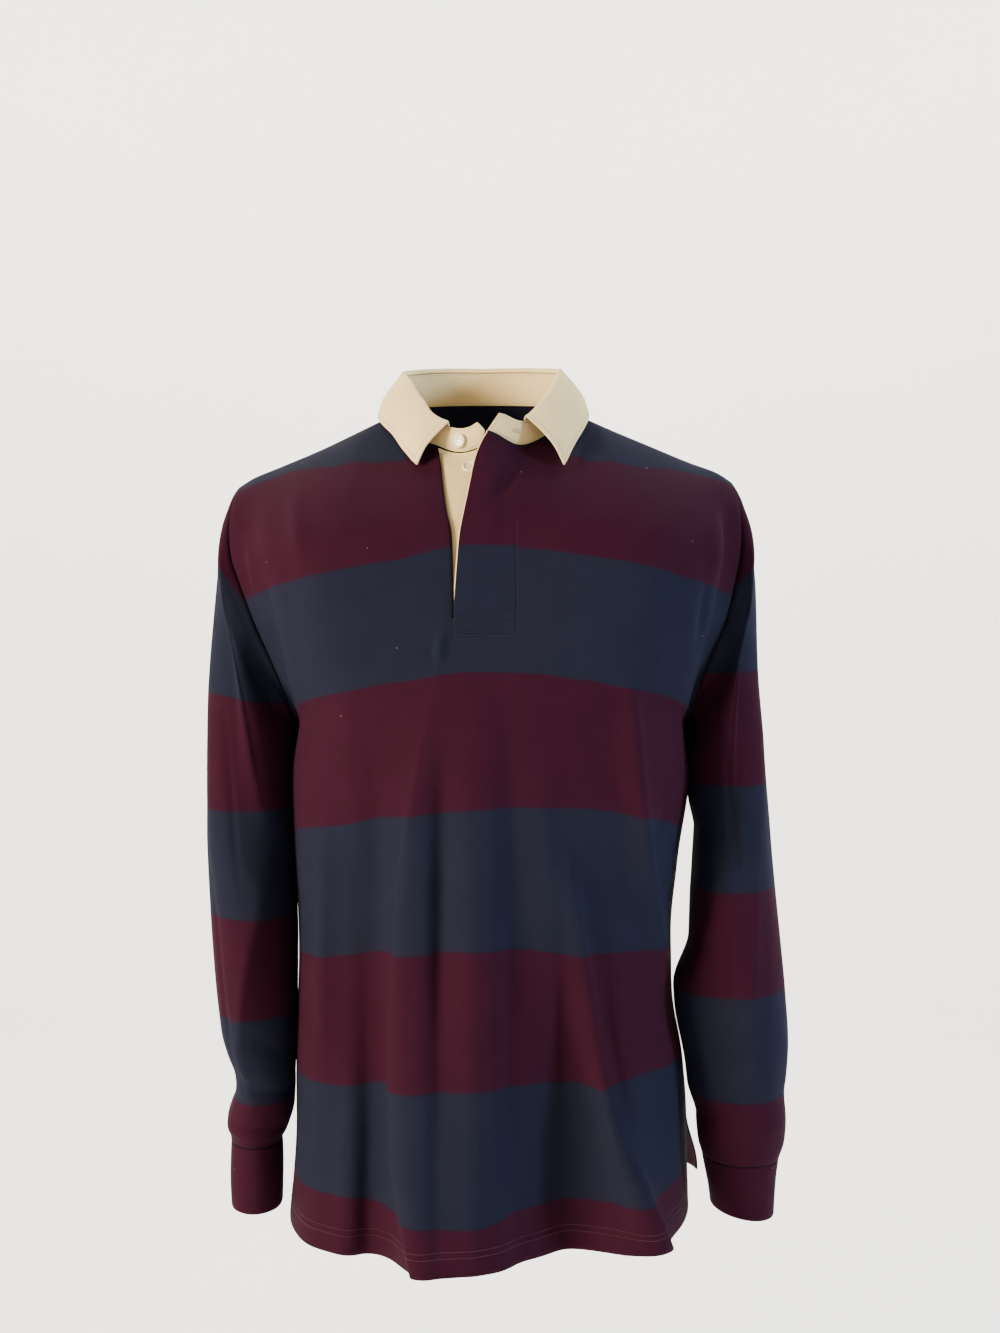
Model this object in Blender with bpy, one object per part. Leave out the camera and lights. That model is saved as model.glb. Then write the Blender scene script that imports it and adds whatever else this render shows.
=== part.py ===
"""A long-sleeve polo shirt as it is worn: a hollow striped jersey body with two sleeves and
cuffs, a twill collar on a stand, and an open two-ply placket with its buttons.

Metres, +Z up. The origin is the middle of the neck, level with the tops of the shoulders.
The front faces -Y, so +X is the wearer's left. The pieces are named for the wearer's sides.
In the tables and functions, left and right are as seen from the front, so left is at -X.
"""

import math

import bmesh
import bpy
import numpy as np

# Walls and clearances
JERSEY = 0.0016
TWILL = 0.0018
UNDERLAY = 0.0014
CUFF = 0.0024
SEAM_GAP = 0.0003
SIDE_GAP = 0.0007
LAY_GAP = 0.0006
# The least cosine that lengthens a mitre, and the direction that orders the corners of a rim
LEAST_FACING = 0.55
SPLIT_ORDER = (0.1, 0.3, 1.0)

# Neck and shoulders
NECK_X = -0.007
NECK_HALF = 0.078
NECK_FRONT = 0.085
NECK_BACK = 0.062
NECK_FRONT_Z = -0.042
NECK_BACK_Z = 0.018
NECK_U = 0.27
NECK_POWER = 0.877
SHOULDER_TOP_Z = {-1: 0.005, 1: 0.008}
# How steeply a panel leaves its top row: out and down at the neck, and what the shoulder adds
START_OUT, START_DOWN = 0.075, 0.075
SHOULDER_OUT, SHOULDER_UP = 0.055, 0.060

# Columns: angles round the neck from the front or back, and cells across the placket's overlap
LEFT_ANGLES = (24.0, 33.0, 43.0, 55.0, 70.0, 90.0)
RIGHT_ANGLES = (26.0, 36.0, 48.0, 62.0, 76.0, 90.0)
BACK_ANGLES = (16.0, 32.0, 48.0, 62.0, 76.0, 90.0)
SHOULDER_COLUMNS = 9
STITCH_CELLS = 3

# Placket: its overlap runs from the slit to the stitched side
SLIT_X = -0.0300
SLIT_U = -0.08
CLOSED_CELL = 0.003
SLIT_TIP_Z = -0.190
OVERLAY_RIGHT_X = 0.0270
OVERLAY_LAP = 0.0040
OVERLAY_FOOT_Z = -0.2085
# The underlay's columns, from the slit's left edge, and how its top row is set back
UNDERLAY_FOOT_Z = -0.204
UNDERLAY_COLUMNS = (-0.005, 0.0056, 0.0162, 0.0268, 0.0374, 0.0480)
UNDERLAY_TOP_IN = 0.002
UNDERLAY_TOP = (0.0, 0.0014, 0.0005)
# The open flap is raised from FLAP_LOW_Z to the neck, and swings about this far past its stitches
FLAP_RAISE = 0.0185
FLAP_HINGE = 0.012
FLAP_LOW_Z = -0.085

# Rows of the body: the armhole ends at 1 and the hem is at 2
CHEST_T = 0.45
ARMHOLE_ROWS = 12
SIDE_ROWS = 14
# A section's pull towards its corner, and how its height falls away from the middle
SECTION_PULL = 0.58
CORNER_REACH = 0.5
DROOP_POWER = 2.2
# The side vents open below here; the back's left corner flares and its edges ride up
VENT_T = 1.82
VENT_FLARE = 0.08
BACK_EDGE_UP = 0.012

# The middle of the body, the turn of its sections at the sides, and their corners' depths
MIDDLE = (
    # t, z, y_front, y_back, turn, corner_front, corner_back
    (0.45, -0.120, -0.1260, 0.098, 50.0, -0.145, 0.140),
    (0.62, -0.163, -0.1350, 0.106, 64.0, -0.154, 0.150),
    (0.80, -0.213, -0.1420, 0.112, 78.0, -0.149, 0.146),
    (1.00, -0.268, -0.1450, 0.115, 88.0, -0.127, 0.128),
    (1.25, -0.392, -0.1420, 0.111, 90.0, -0.100, 0.115),
    (1.42, -0.475, -0.1390, 0.107, 90.0, -0.087, 0.109),
    (1.55, -0.540, -0.1375, 0.106, 90.0, -0.081, 0.108),
    (1.70, -0.612, -0.1370, 0.110, 90.0, -0.079, 0.110),
    (1.85, -0.690, -0.1380, 0.117, 90.0, -0.081, 0.116),
    (2.00, -0.770, -0.1400, 0.124, 86.0, -0.100, 0.143),
)

# Armhole seam down to 1, then side seam; the sides part at the vents
EDGE = (
    # t, x_left, x_right, y_front, y_back, z_left, z_right
    (0.45, 0.2370, 0.2335, -0.054, 0.056, -0.150, -0.146),
    (0.62, 0.2220, 0.2235, -0.058, 0.060, -0.190, -0.190),
    (0.80, 0.2030, 0.2060, -0.046, 0.052, -0.240, -0.240),
    (0.92, 0.1905, 0.1945, -0.018, 0.034, -0.284, -0.284),
    (1.00, 0.1860, 0.1900, 0.012, 0.012, -0.303, -0.303),
    (1.10, 0.1895, 0.1940, 0.013, 0.013, -0.352, -0.354),
    (1.25, 0.1885, 0.1840, 0.015, 0.015, -0.425, -0.428),
    (1.42, 0.1855, 0.1765, 0.016, 0.016, -0.506, -0.508),
    (1.55, 0.1850, 0.1790, 0.016, 0.016, -0.569, -0.565),
    (1.70, 0.1875, 0.1900, 0.016, 0.016, -0.637, -0.624),
    (1.82, 0.1888, 0.1945, 0.017, 0.017, -0.692, -0.682),
    (2.00, 0.1950, 0.1950, -0.004, 0.046, -0.774, -0.764),
)

# Shoulder line from the neck, 0, to the armhole, 1
SHOULDER = (
    # f, x_left, x_right, z_left, z_right
    (0.00, 0.0850, 0.0710, 0.005, 0.008),
    (0.25, 0.1235, 0.1110, -0.0139, -0.0101),
    (0.50, 0.1620, 0.1515, -0.0322, -0.0270),
    (0.75, 0.2005, 0.1920, -0.0483, -0.0437),
    (0.92, 0.2267, 0.2190, -0.0592, -0.0537),
    (1.00, 0.2390, 0.2320, -0.0670, -0.0620),
)

# The two edges of the open slit, from the neck to the tip
SLIT = (
    # z, x_left, x_overlay, lift
    (-0.220, -0.0300, -0.0300, 0.000),
    (-0.190, -0.0300, -0.0298, 0.000),
    (-0.141, -0.0308, -0.0270, 0.001),
    (-0.118, -0.0320, -0.0250, 0.002),
    (-0.097, -0.0365, -0.0210, 0.003),
    (-0.070, -0.0408, -0.0151, 0.004),
    (-0.057, -0.0428, -0.0108, 0.006),
    (-0.0415, -0.0459, -0.0012, 0.008),
)

# Soft folds of the front, seen along -Y; height is outwards
FRONT_FOLDS = (
    # z_top, x_top, x_middle, z_low, x_low, width_left, width_right, height_middle, height_low
    (-0.215, -0.036, -0.066, -0.775, -0.063, 0.016, 0.070, 0.004, 0.028),
    (-0.330, -0.095, -0.098, -0.775, -0.098, 0.030, 0.024, -0.006, -0.026),
    (-0.300, -0.150, -0.158, -0.775, -0.160, 0.020, 0.022, 0.005, 0.006),
    (-0.420, 0.075, 0.080, -0.775, 0.082, 0.035, 0.030, -0.008, -0.042),
    (-0.390, 0.068, 0.104, -0.775, 0.140, 0.026, 0.026, 0.008, 0.012),
    (-0.220, 0.124, 0.142, -0.560, 0.166, 0.022, 0.016, 0.006, 0.000),
    (-0.100, 0.166, 0.170, -0.300, 0.160, 0.016, 0.016, -0.004, 0.000),
    (-0.100, -0.172, -0.176, -0.320, -0.168, 0.016, 0.016, -0.003, 0.000),
)
BACK_FOLDS = (
    (-0.200, -0.080, -0.070, -0.770, -0.058, 0.035, 0.040, -0.006, -0.018),
    (-0.300, 0.000, 0.004, -0.770, 0.010, 0.035, 0.035, 0.003, 0.008),
    (-0.180, 0.090, 0.078, -0.770, 0.072, 0.040, 0.035, -0.007, -0.020),
    (-0.300, 0.135, 0.140, -0.770, 0.140, 0.030, 0.030, 0.004, 0.012),
    (-0.300, -0.130, -0.136, -0.770, -0.140, 0.030, 0.030, 0.004, 0.010),
)
# The valley beside each armhole: its depth, its place across the panel and its width
ARMHOLE_VALLEY, VALLEY_U, VALLEY_WIDE = 0.007, 0.93, 0.06
FOLD_START = 0.12
FOLD_FADE = 0.05

# The wearer's sleeves from the armhole to the cuff seam; x is the distance from the middle
SLEEVE_RIGHT = (
    # w, x_outer, z_outer, x_inner, z_inner, y, half_depth
    (0.000, 0.2390, -0.067, 0.1860, -0.303, 0.002, 0.057),
    (0.050, 0.2490, -0.092, 0.1975, -0.304, 0.002, 0.064),
    (0.110, 0.2560, -0.122, 0.2025, -0.314, 0.001, 0.067),
    (0.190, 0.2610, -0.165, 0.2010, -0.340, 0.000, 0.067),
    (0.300, 0.2645, -0.225, 0.1985, -0.380, -0.002, 0.065),
    (0.440, 0.2685, -0.300, 0.1965, -0.430, -0.004, 0.062),
    (0.600, 0.2710, -0.395, 0.1955, -0.495, -0.008, 0.058),
    (0.760, 0.2670, -0.500, 0.1950, -0.565, -0.012, 0.053),
    (0.880, 0.2585, -0.585, 0.1955, -0.622, -0.016, 0.048),
    (0.945, 0.2440, -0.645, 0.1985, -0.657, -0.018, 0.042),
    (0.975, 0.2525, -0.672, 0.1970, -0.680, -0.019, 0.041),
    (1.000, 0.2485, -0.693, 0.2000, -0.695, -0.020, 0.035),
)
SLEEVE_LEFT = (
    (0.000, 0.2320, -0.062, 0.1900, -0.303, 0.002, 0.057),
    (0.050, 0.2440, -0.092, 0.2015, -0.304, 0.002, 0.064),
    (0.110, 0.2500, -0.122, 0.2065, -0.314, 0.001, 0.067),
    (0.190, 0.2535, -0.160, 0.2050, -0.340, 0.000, 0.067),
    (0.300, 0.2548, -0.225, 0.2005, -0.382, -0.002, 0.065),
    (0.440, 0.2620, -0.303, 0.1970, -0.422, -0.004, 0.062),
    (0.600, 0.2725, -0.418, 0.1935, -0.480, -0.008, 0.058),
    (0.700, 0.2790, -0.480, 0.1925, -0.522, -0.010, 0.055),
    (0.800, 0.2855, -0.550, 0.1935, -0.578, -0.013, 0.051),
    (0.880, 0.2888, -0.600, 0.1990, -0.616, -0.015, 0.048),
    (0.950, 0.2860, -0.655, 0.2010, -0.662, -0.018, 0.045),
    (0.980, 0.2862, -0.692, 0.2025, -0.692, -0.019, 0.043),
    (1.000, 0.2800, -0.712, 0.2060, -0.710, -0.020, 0.037),
)
CUFF_RIGHT = (
    # w, x_outer, z_outer, x_inner, z_inner, y, half_depth
    (0.0, 0.2485, -0.693, 0.2000, -0.695, -0.020, 0.035),
    (0.5, 0.2495, -0.726, 0.1985, -0.727, -0.021, 0.035),
    (1.0, 0.2486, -0.757, 0.1995, -0.758, -0.022, 0.034),
)
CUFF_LEFT = (
    (0.0, 0.2800, -0.712, 0.2060, -0.710, -0.020, 0.037),
    (0.5, 0.2765, -0.738, 0.2110, -0.736, -0.021, 0.036),
    (1.0, 0.2746, -0.767, 0.2146, -0.758, -0.022, 0.035),
)
# Rows of a sleeve below the armhole, and of a cuff
CUFF_ROWS = 3
SLEEVE_ROWS = (0.03, 0.07, 0.12, 0.18, 0.25, 0.33, 0.42, 0.51, 0.60, 0.69, 0.78, 0.86, 0.92, 0.95, 0.975, 1.0)
# Folds along a sleeve; angle is 0 at the outside and 90 at the front
SLEEVE_FOLDS = (
    # w_top, angle_top, w_low, angle_low, width_angle, height
    (0.05, 62.0, 0.55, 100.0, 22.0, -0.006),
    (0.15, 20.0, 0.70, 60.0, 20.0, 0.004),
    (0.45, 130.0, 0.95, 70.0, 20.0, 0.004),
    (0.10, 250.0, 0.80, 280.0, 30.0, -0.006),
)

# The stand's left end laps over the slit: where its foot ends, and how it dips on the way
LAP_COLUMNS = 4
LAP_END = (-0.0046, -0.092, -0.0370)
LAP_DIP = (0.0, -0.0025, -0.0060)
STAND_SHARES = (0.0, 0.33, 0.67, 1.0)
STAND_SWELL = 0.0015
# The stand's height and outward lean round the neck
COLLAR = (
    # angle from the front, height, lean_left, lean_right
    (0.0, 0.0215, 0.10, 0.10),
    (25.0, 0.0218, 0.00, 0.04),
    (49.0, 0.0320, -0.31, -0.06),
    (64.0, 0.0340, -0.34, -0.15),
    (76.0, 0.0345, -0.31, -0.15),
    (90.0, 0.0330, -0.12, -0.12),
    (135.0, 0.0330, -0.12, -0.12),
    (180.0, 0.0320, -0.14, -0.14),
)
# Where the stand's two ends are cut to a slant: column, share on each row, offset
STAND_ENDS = (
    (0, (0.0, 0.0, 0.2, 1.0), (-0.0055, 0.0000, -0.0005)),
    (0, (0.0, 0.6, 1.0, 0.0), (0.0022, 0.0000, 0.0000)),
    (1, (0.0, 0.0, 0.2, 1.0), (-0.0020, 0.0000, -0.0005)),
    (-1, (0.0, 0.33, 0.67, 1.0), (0.0107, 0.0030, -0.0050)),
    (-2, (0.0, 0.33, 0.67, 1.0), (0.0105, 0.0030, -0.0045)),
    (-3, (0.0, 0.33, 0.67, 1.0), (0.0070, 0.0020, -0.0025)),
    (-4, (0.0, 0.33, 0.67, 1.0), (0.0045, 0.0010, -0.0010)),
    (-5, (0.0, 0.33, 0.67, 1.0), (0.0025, 0.0000, 0.0000)),
)
# The roll over the stand's top: how far up and out, then how far down and in to the hidden side
ROLL = (
    # up, out, down, in
    (0.0003, 0.0000, 0.0000, 0.0000),
    (0.0022, 0.0000, 0.0000, 0.0000),
    (0.0049, 0.0010, 0.0018, 0.0000),
    (0.0024, 0.0056, 0.0002, 0.0018),
)
RISE = 0.0026
RISE_DROP = 0.0008
ROLL_GAP = 0.0006
# The leaf between the roll, 0, and its edge, 1, and how far it swells
LEAF_FALL = ((0.33, 0.0026), (0.68, 0.0034), (1.0, 0.0))
# Where the leaf ends between two columns of the stand, and how its edge clears the shoulders
LEAF_START = 30.0
LEAF_END_SHARE = 0.4
LEAF_LIFT = 0.0040
LEAF_OUT = 0.0032
RIDGE_LIFT = 0.0050
RIDGE_ANGLE = 104.0
RIDGE_WIDTH = 30.0
# The leaf's outer edge on the front and back, as places on the panels
LEAF_FRONT = (
    # angle from the front, u_left, t_left, u_right, t_right
    (30.0, 0.195, 0.165, 0.235, 0.198),
    (45.0, 0.248, 0.138, 0.262, 0.181),
    (66.0, 0.306, 0.124, 0.318, 0.140),
    (78.0, 0.338, 0.078, 0.346, 0.095),
    (86.0, 0.358, 0.040, 0.366, 0.060),
)
LEAF_BACK = (
    (98.0, 0.362, 0.035, 0.366, 0.040),
    (120.0, 0.300, 0.085, 0.300, 0.085),
    (150.0, 0.160, 0.120, 0.160, 0.120),
    (180.0, 0.000, 0.130, 0.000, 0.130),
)

# Buttons: x and z of their middles, and half of the profile from the back to the dished face
BUTTON_GAP = 0.0005
BUTTON_SIDES = 16
BAND_BUTTON = (-0.0261, -0.0320)
PLACKET_BUTTON = (-0.0145, -0.0575)
BUTTON_PROFILE = (
    # radius, height
    (0.0, 0.0),
    (0.0054, 0.0),
    (0.0067, 0.0012),
    (0.0064, 0.0022),
    (0.0058, 0.0026),
    (0.0047, 0.0019),
    (0.0, 0.0019),
)

# Colours, linear
BURGUNDY = (0.050, 0.011, 0.020, 1.0)
NAVY = (0.020, 0.023, 0.037, 1.0)
ECRU = (0.760, 0.660, 0.440, 1.0)
IVORY = (0.850, 0.790, 0.600, 1.0)


def clear_scene():
    for thing in list(bpy.data.objects):
        bpy.data.objects.remove(thing, do_unlink=True)


def follow(table, column, at):
    """The column of a table at these places of its first column, smooth and with no overshoot."""
    rows = np.array(table, float)
    rows = rows[np.argsort(rows[:, 0])]
    x, y = rows[:, 0], rows[:, column]
    step = np.diff(x)
    rise = np.diff(y) / step
    slope = np.empty(len(x))
    slope[0], slope[-1] = rise[0], rise[-1]
    same = rise[:-1] * rise[1:] > 0
    mean = 2 * rise[:-1] * rise[1:] / np.where(same, rise[:-1] + rise[1:], 1.0)
    slope[1:-1] = np.where(same, mean, 0.0)
    at = np.clip(at, x[0], x[-1])
    i = np.clip(np.searchsorted(x, at, side="right") - 1, 0, len(x) - 2)
    s = (at - x[i]) / step[i]
    one, two = s * s * (3 - 2 * s), s * (1 - s)
    return y[i] * (1 - one) + y[i + 1] * one + step[i] * two * (slope[i] * (1 - s) - slope[i + 1] * s)


def ramp(low, high, at):
    s = np.clip((at - low) / (high - low), 0.0, 1.0)
    return s * s * (3 - 2 * s)


def unit(vectors):
    return vectors / np.maximum(np.linalg.norm(vectors, axis=-1, keepdims=True), 1e-12)


def stack(x, y, z):
    return np.stack(np.broadcast_arrays(x, y, z), axis=-1).astype(float)


def neck_point(u, back):
    """A point of the neck seam, from the middle of the front or back to the shoulder."""
    across = np.clip(np.abs(u) / NECK_U, 0.0, 1.0) ** (1 / NECK_POWER)
    along = np.sqrt(np.maximum(1 - across**2, 0.0))
    side = np.where(u < 0, -1.0, 1.0)
    top = np.where(u < 0, SHOULDER_TOP_Z[-1], SHOULDER_TOP_Z[1])
    low = NECK_BACK_Z if back else NECK_FRONT_Z
    depth = NECK_BACK if back else -NECK_FRONT
    return stack(NECK_X + side * NECK_HALF * across, depth * along, top + (low - top) * along)


def top_point(u, back):
    """A point of the body's top row: the neck seam, then the shoulder seam."""
    f = np.clip((np.abs(u) - NECK_U) / (1 - NECK_U), 0.0, 1.0)
    x = np.where(u < 0, -follow(SHOULDER, 1, f), follow(SHOULDER, 2, f))
    z = np.where(u < 0, follow(SHOULDER, 3, f), follow(SHOULDER, 4, f))
    shoulder = stack(x, np.zeros_like(x), z)
    return np.where((np.abs(u) < NECK_U)[..., None], neck_point(u, back), shoulder)


def section_point(u, t, back):
    """A point of one level section of the body, from the middle, 0, to the edge, 1."""
    s = np.abs(u)
    left = u < 0
    edge_x = np.where(left, -follow(EDGE, 1, t), follow(EDGE, 2, t))
    edge_y = follow(EDGE, 4 if back else 3, t)
    edge_z = np.where(left, follow(EDGE, 5, t), follow(EDGE, 6, t))
    if back:
        edge_x = edge_x * (1 + VENT_FLARE * ramp(VENT_T, 2.0, t) * ~left)
        edge_z = edge_z + BACK_EDGE_UP * ramp(VENT_T - 0.12, 2.0, t)
    middle_y = follow(MIDDLE, 3 if back else 2, t)
    middle_z = follow(MIDDLE, 1, t)
    turn = np.radians(follow(MIDDLE, 4, t))
    corner_y = follow(MIDDLE, 6 if back else 5, t)
    away = edge_x * (1 - CORNER_REACH * np.cos(turn))
    a, b, c, d = (1 - s) ** 3, 3 * (1 - s) ** 2 * s, 3 * (1 - s) * s * s, s**3
    x = b * SECTION_PULL * edge_x + c * away + d * edge_x
    y = (a + b) * middle_y + c * corner_y + d * edge_y
    z = middle_z + (edge_z - middle_z) * s**DROOP_POWER
    return stack(x, y, z)


def body_point(u, t, back=False):
    """A point of the front or back before its folds."""
    u, t = np.broadcast_arrays(np.asarray(u, float), np.asarray(t, float))
    low = section_point(u, np.maximum(t, CHEST_T), back)
    step = 0.02
    chest = np.full_like(t, CHEST_T)
    fall = (section_point(u, chest + step, back) - section_point(u, chest, back)) / step * CHEST_T
    high = top_point(u, back)
    sign = 1.0 if back else -1.0
    shoulder = ramp(0.8 * NECK_U, 1.6 * NECK_U, np.abs(u))
    lean = stack(0.0 * u, sign * (START_OUT + SHOULDER_OUT * shoulder), SHOULDER_UP * shoulder - START_DOWN)
    s = np.clip(t / CHEST_T, 0.0, 1.0)[..., None]
    arc = (
        (2 * s**3 - 3 * s**2 + 1) * high
        + (s**3 - 2 * s**2 + s) * lean
        + (3 * s**2 - 2 * s**3) * section_point(u, chest, back)
        + (s**3 - s**2) * fall
    )
    return np.where((t < CHEST_T)[..., None], arc, low)


def fold_height(folds, x, z):
    """How far the soft folds stand out at this place."""
    total = np.zeros_like(x)
    for z_top, x_top, x_middle, z_low, x_low, wide_left, wide_right, middle, low in folds:
        s = np.clip((z_top - z) / (z_top - z_low), 0.0, 1.0)
        line = (1 - s) * (1 - 2 * s) * x_top + 4 * s * (1 - s) * x_middle + s * (2 * s - 1) * x_low
        size = 4 * s * (1 - s) * middle + s * s * (3 - 2 * s) * low
        size = size * ramp(z_top, z_top - FOLD_FADE, z)
        wide = np.where(x < line, wide_left, wide_right)
        total = total + size * np.exp(-(((x - line) / wide) ** 2))
    return total


def grid_normals(points, ring=False):
    """The outward direction at each point of a grid whose columns run left to right from outside."""
    if ring:
        wide = np.concatenate([points[:, -2:-1], points, points[:, 1:2]], axis=1)
        across = (wide[:, 2:] - wide[:, :-2]) / 2
    else:
        across = np.gradient(points, axis=1)
    return unit(np.cross(across, -np.gradient(points, axis=0)))


def folded(base, folds, u, t):
    """The grid moved out by its folds and in at the valley before each armhole."""
    normals = grid_normals(base)
    x, z = base[..., 0], base[..., 2]
    height = fold_height(folds, x, z)
    valley = np.exp(-(((np.abs(u) - VALLEY_U) / VALLEY_WIDE) ** 2))
    valley = valley * ramp(0.1, 0.4, t) * ramp(1.1, 0.85, t)
    height = height - ARMHOLE_VALLEY * valley
    height = height * ramp(0.0, FOLD_START, t)
    return base + normals * height[..., None]


def u_at(x, t):
    """The column place of the front where it has this x, near the middle."""
    fine = np.linspace(-0.5, 0.5, 201)
    rows = np.unique(t)
    lookup = {row: body_point(fine, row)[..., 0] for row in rows}
    x, t = np.broadcast_arrays(x, t)
    found = [np.interp(value, lookup[row], fine) for value, row in zip(x.ravel(), t.ravel())]
    return np.array(found).reshape(x.shape)


def lifted(points, t):
    """The points of the open flap, raised and swung out towards the slit's top corner."""
    x, z = points[..., 0], points[..., 2]
    near = ramp(OVERLAY_RIGHT_X + FLAP_HINGE, -0.004, x)
    lift = follow(SLIT, 3, z) * near
    raise_up = FLAP_RAISE * near**1.3 * ramp(FLAP_LOW_Z, NECK_FRONT_Z + 0.006, z)
    return points + stack(0.0 * x, -lift, raise_up)


def neck_places(angles):
    """Column places whose neck points stand at these angles from the middle."""
    return NECK_U * np.sin(np.radians(np.array(angles))) ** NECK_POWER


def shoulder_places():
    """Column places along the shoulder seam."""
    f = np.linspace(0.0, 1.0, SHOULDER_COLUMNS + 1)[1:]
    return NECK_U + (1 - NECK_U) * f


def body_rows():
    """The rows of both panels; two of them lie on the slit's tip and the placket's foot."""
    rows = np.concatenate(
        [np.linspace(0, 1, ARMHOLE_ROWS + 1), 1 + np.linspace(0, 1, SIDE_ROWS + 1)[1:]]
    )
    fine = np.linspace(CHEST_T, 1.0, 400)
    height = follow(MIDDLE, 1, fine)
    for z in (SLIT_TIP_Z, OVERLAY_FOOT_Z):
        t = np.interp(-z, -height, fine)
        rows[np.abs(rows - t).argmin()] = t
    return rows


def slit_edges(t):
    """The x of the front's two edges at the slit on each row, and the rows where it is open."""
    height = body_point(np.full(len(t), SLIT_U), t)[:, 2]
    open_here = height > SLIT_TIP_Z - 0.001
    right = np.where(open_here, follow(SLIT, 2, height) + OVERLAY_LAP, SLIT_X + CLOSED_CELL)
    return follow(SLIT, 1, height), right, open_here


def front_grid(t):
    """The front's points, the column left of the slit and the rows where the slit is open."""
    left_x, right_x, open_here = slit_edges(t)
    u_left, u_right = u_at(left_x, t), u_at(right_x, t)
    u_stitch = u_at(np.full(len(t), OVERLAY_RIGHT_X), t)
    shoulder = shoulder_places()
    left_fixed = neck_places(LEFT_ANGLES)
    right_fixed = neck_places(RIGHT_ANGLES)
    u_rows = []
    for a, b, c in zip(u_left, u_right, u_stitch):
        share = (left_fixed - left_fixed[0]) / (left_fixed[-1] - left_fixed[0])
        left = a - share * (NECK_U + a)
        share = (right_fixed - right_fixed[0]) / (right_fixed[-1] - right_fixed[0])
        lapped = np.linspace(b, c, STITCH_CELLS + 1)[:-1]
        right = np.concatenate([lapped, c + share * (NECK_U - c)])
        u_rows.append(np.concatenate([-shoulder[::-1], left[::-1], right, shoulder]))
    u = np.array(u_rows)
    tt = np.broadcast_to(t[:, None], u.shape)
    points = folded(body_point(u, tt), FRONT_FOLDS, u, tt)
    slit = SHOULDER_COLUMNS + len(LEFT_ANGLES) - 1
    flap = np.arange(u.shape[1]) > slit
    points = np.where(flap[None, :, None], lifted(points, tt), points)
    return points, slit, open_here


def back_grid(t):
    """The back's points, with columns from the wearer's left to right as seen from behind."""
    places = np.concatenate([neck_places(BACK_ANGLES), shoulder_places()])
    u = np.concatenate([places[::-1], [0.0], -places])
    u, tt = np.meshgrid(u, t)
    return folded(body_point(u, tt, back=True), BACK_FOLDS, u, tt)


def tube_point(table, side, angle, w):
    """A point of a sleeve or cuff; angle is 0 at the outside and a quarter turn at the front."""
    outer_x, outer_z = follow(table, 1, w), follow(table, 2, w)
    inner_x, inner_z = follow(table, 3, w), follow(table, 4, w)
    share = (1 - np.cos(angle)) / 2
    x = side * (outer_x + (inner_x - outer_x) * share)
    z = outer_z + (inner_z - outer_z) * share
    y = follow(table, 5, w) - follow(table, 6, w) * np.sin(angle)
    return stack(x, y, z)


def sleeve_folds(angle, w):
    """How far a sleeve's soft folds stand out at this place."""
    total = np.zeros_like(w)
    degrees = np.degrees(angle)
    for w_top, at_top, w_low, at_low, wide, height in SLEEVE_FOLDS:
        s = np.clip((w - w_top) / (w_low - w_top), 0.0, 1.0)
        away = (degrees - (at_top + (at_low - at_top) * s) + 180.0) % 360.0 - 180.0
        total = total + 4 * s * (1 - s) * height * np.exp(-((away / wide) ** 2))
    return total


def sleeve_grid(table, side, armhole):
    """The sleeve from the armhole's own ring of points down to the cuff seam."""
    columns = len(armhole)
    angle = np.linspace(0.0, 2 * math.pi, columns)
    w = np.array((0.0,) + SLEEVE_ROWS)
    angle, ww = np.meshgrid(angle, w)
    points = tube_point(table, side, angle, ww)
    rest = armhole - points[0]
    points = points + rest[None] * (1 - ramp(0.0, 0.22, ww))[..., None]
    normals = grid_normals(points, ring=True) * -side
    height = sleeve_folds(angle, ww) * ramp(0.0, 0.1, ww) * ramp(1.0, 0.94, ww)
    return points + normals * height[..., None]


def armhole_ring(front, back, side):
    """The armhole's points from the shoulder tip, down the front and up the back."""
    rows = ARMHOLE_ROWS + 1
    down = front[:rows, -1 if side > 0 else 0]
    up = back[:rows, 0 if side > 0 else -1][::-1]
    return np.concatenate([down, up[1:]])


def walls(points, thickness, ring=False, outward=1.0):
    """How far in, and in which direction, a wall's inner points lie."""
    return -outward * thickness * grid_normals(points, ring)


def meet(*edges):
    """The shared inward direction of edges that meet at a seam, longer where they meet sharply."""
    total = unit(sum(unit(edge) for edge in edges))
    facing = np.mean([(unit(edge) * total).sum(-1) for edge in edges], axis=0)
    return total / np.clip(facing, LEAST_FACING, 1.0)[..., None]


def seam(edges, gap=SEAM_GAP):
    """Gives edges that meet one inward direction, and draws each back into its own cloth.

    Each edge is (points, insets, points of the next line), all views into a panel's arrays.
    """
    shared = meet(*[inset for _, inset, _ in edges])
    for points, inset, beside in edges:
        step = unit(beside - points) * (gap / 2) * np.linalg.norm(shared, axis=-1, keepdims=True)
        inset[:] = shared * np.linalg.norm(inset, axis=-1, keepdims=True)
        points += step


def material(name, colour, roughness):
    made = bpy.data.materials.new(name)
    made.use_nodes = True
    shader = made.node_tree.nodes["Principled BSDF"]
    shader.inputs["Base Color"].default_value = colour
    shader.inputs["Roughness"].default_value = roughness
    shader.inputs["Metallic"].default_value = 0.0
    return made


def finish(name, mesh_maker, colour, roughness):
    mesh = bpy.data.meshes.new(name)
    mesh_maker.to_mesh(mesh)
    mesh_maker.free()
    mesh.shade_smooth()
    mesh.set_sharp_from_angle(angle=math.radians(60))
    mesh.materials.append(material(name + "_cloth", colour, roughness))
    made = bpy.data.objects.new(name, mesh)
    bpy.context.scene.collection.objects.link(made)
    return made


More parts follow.
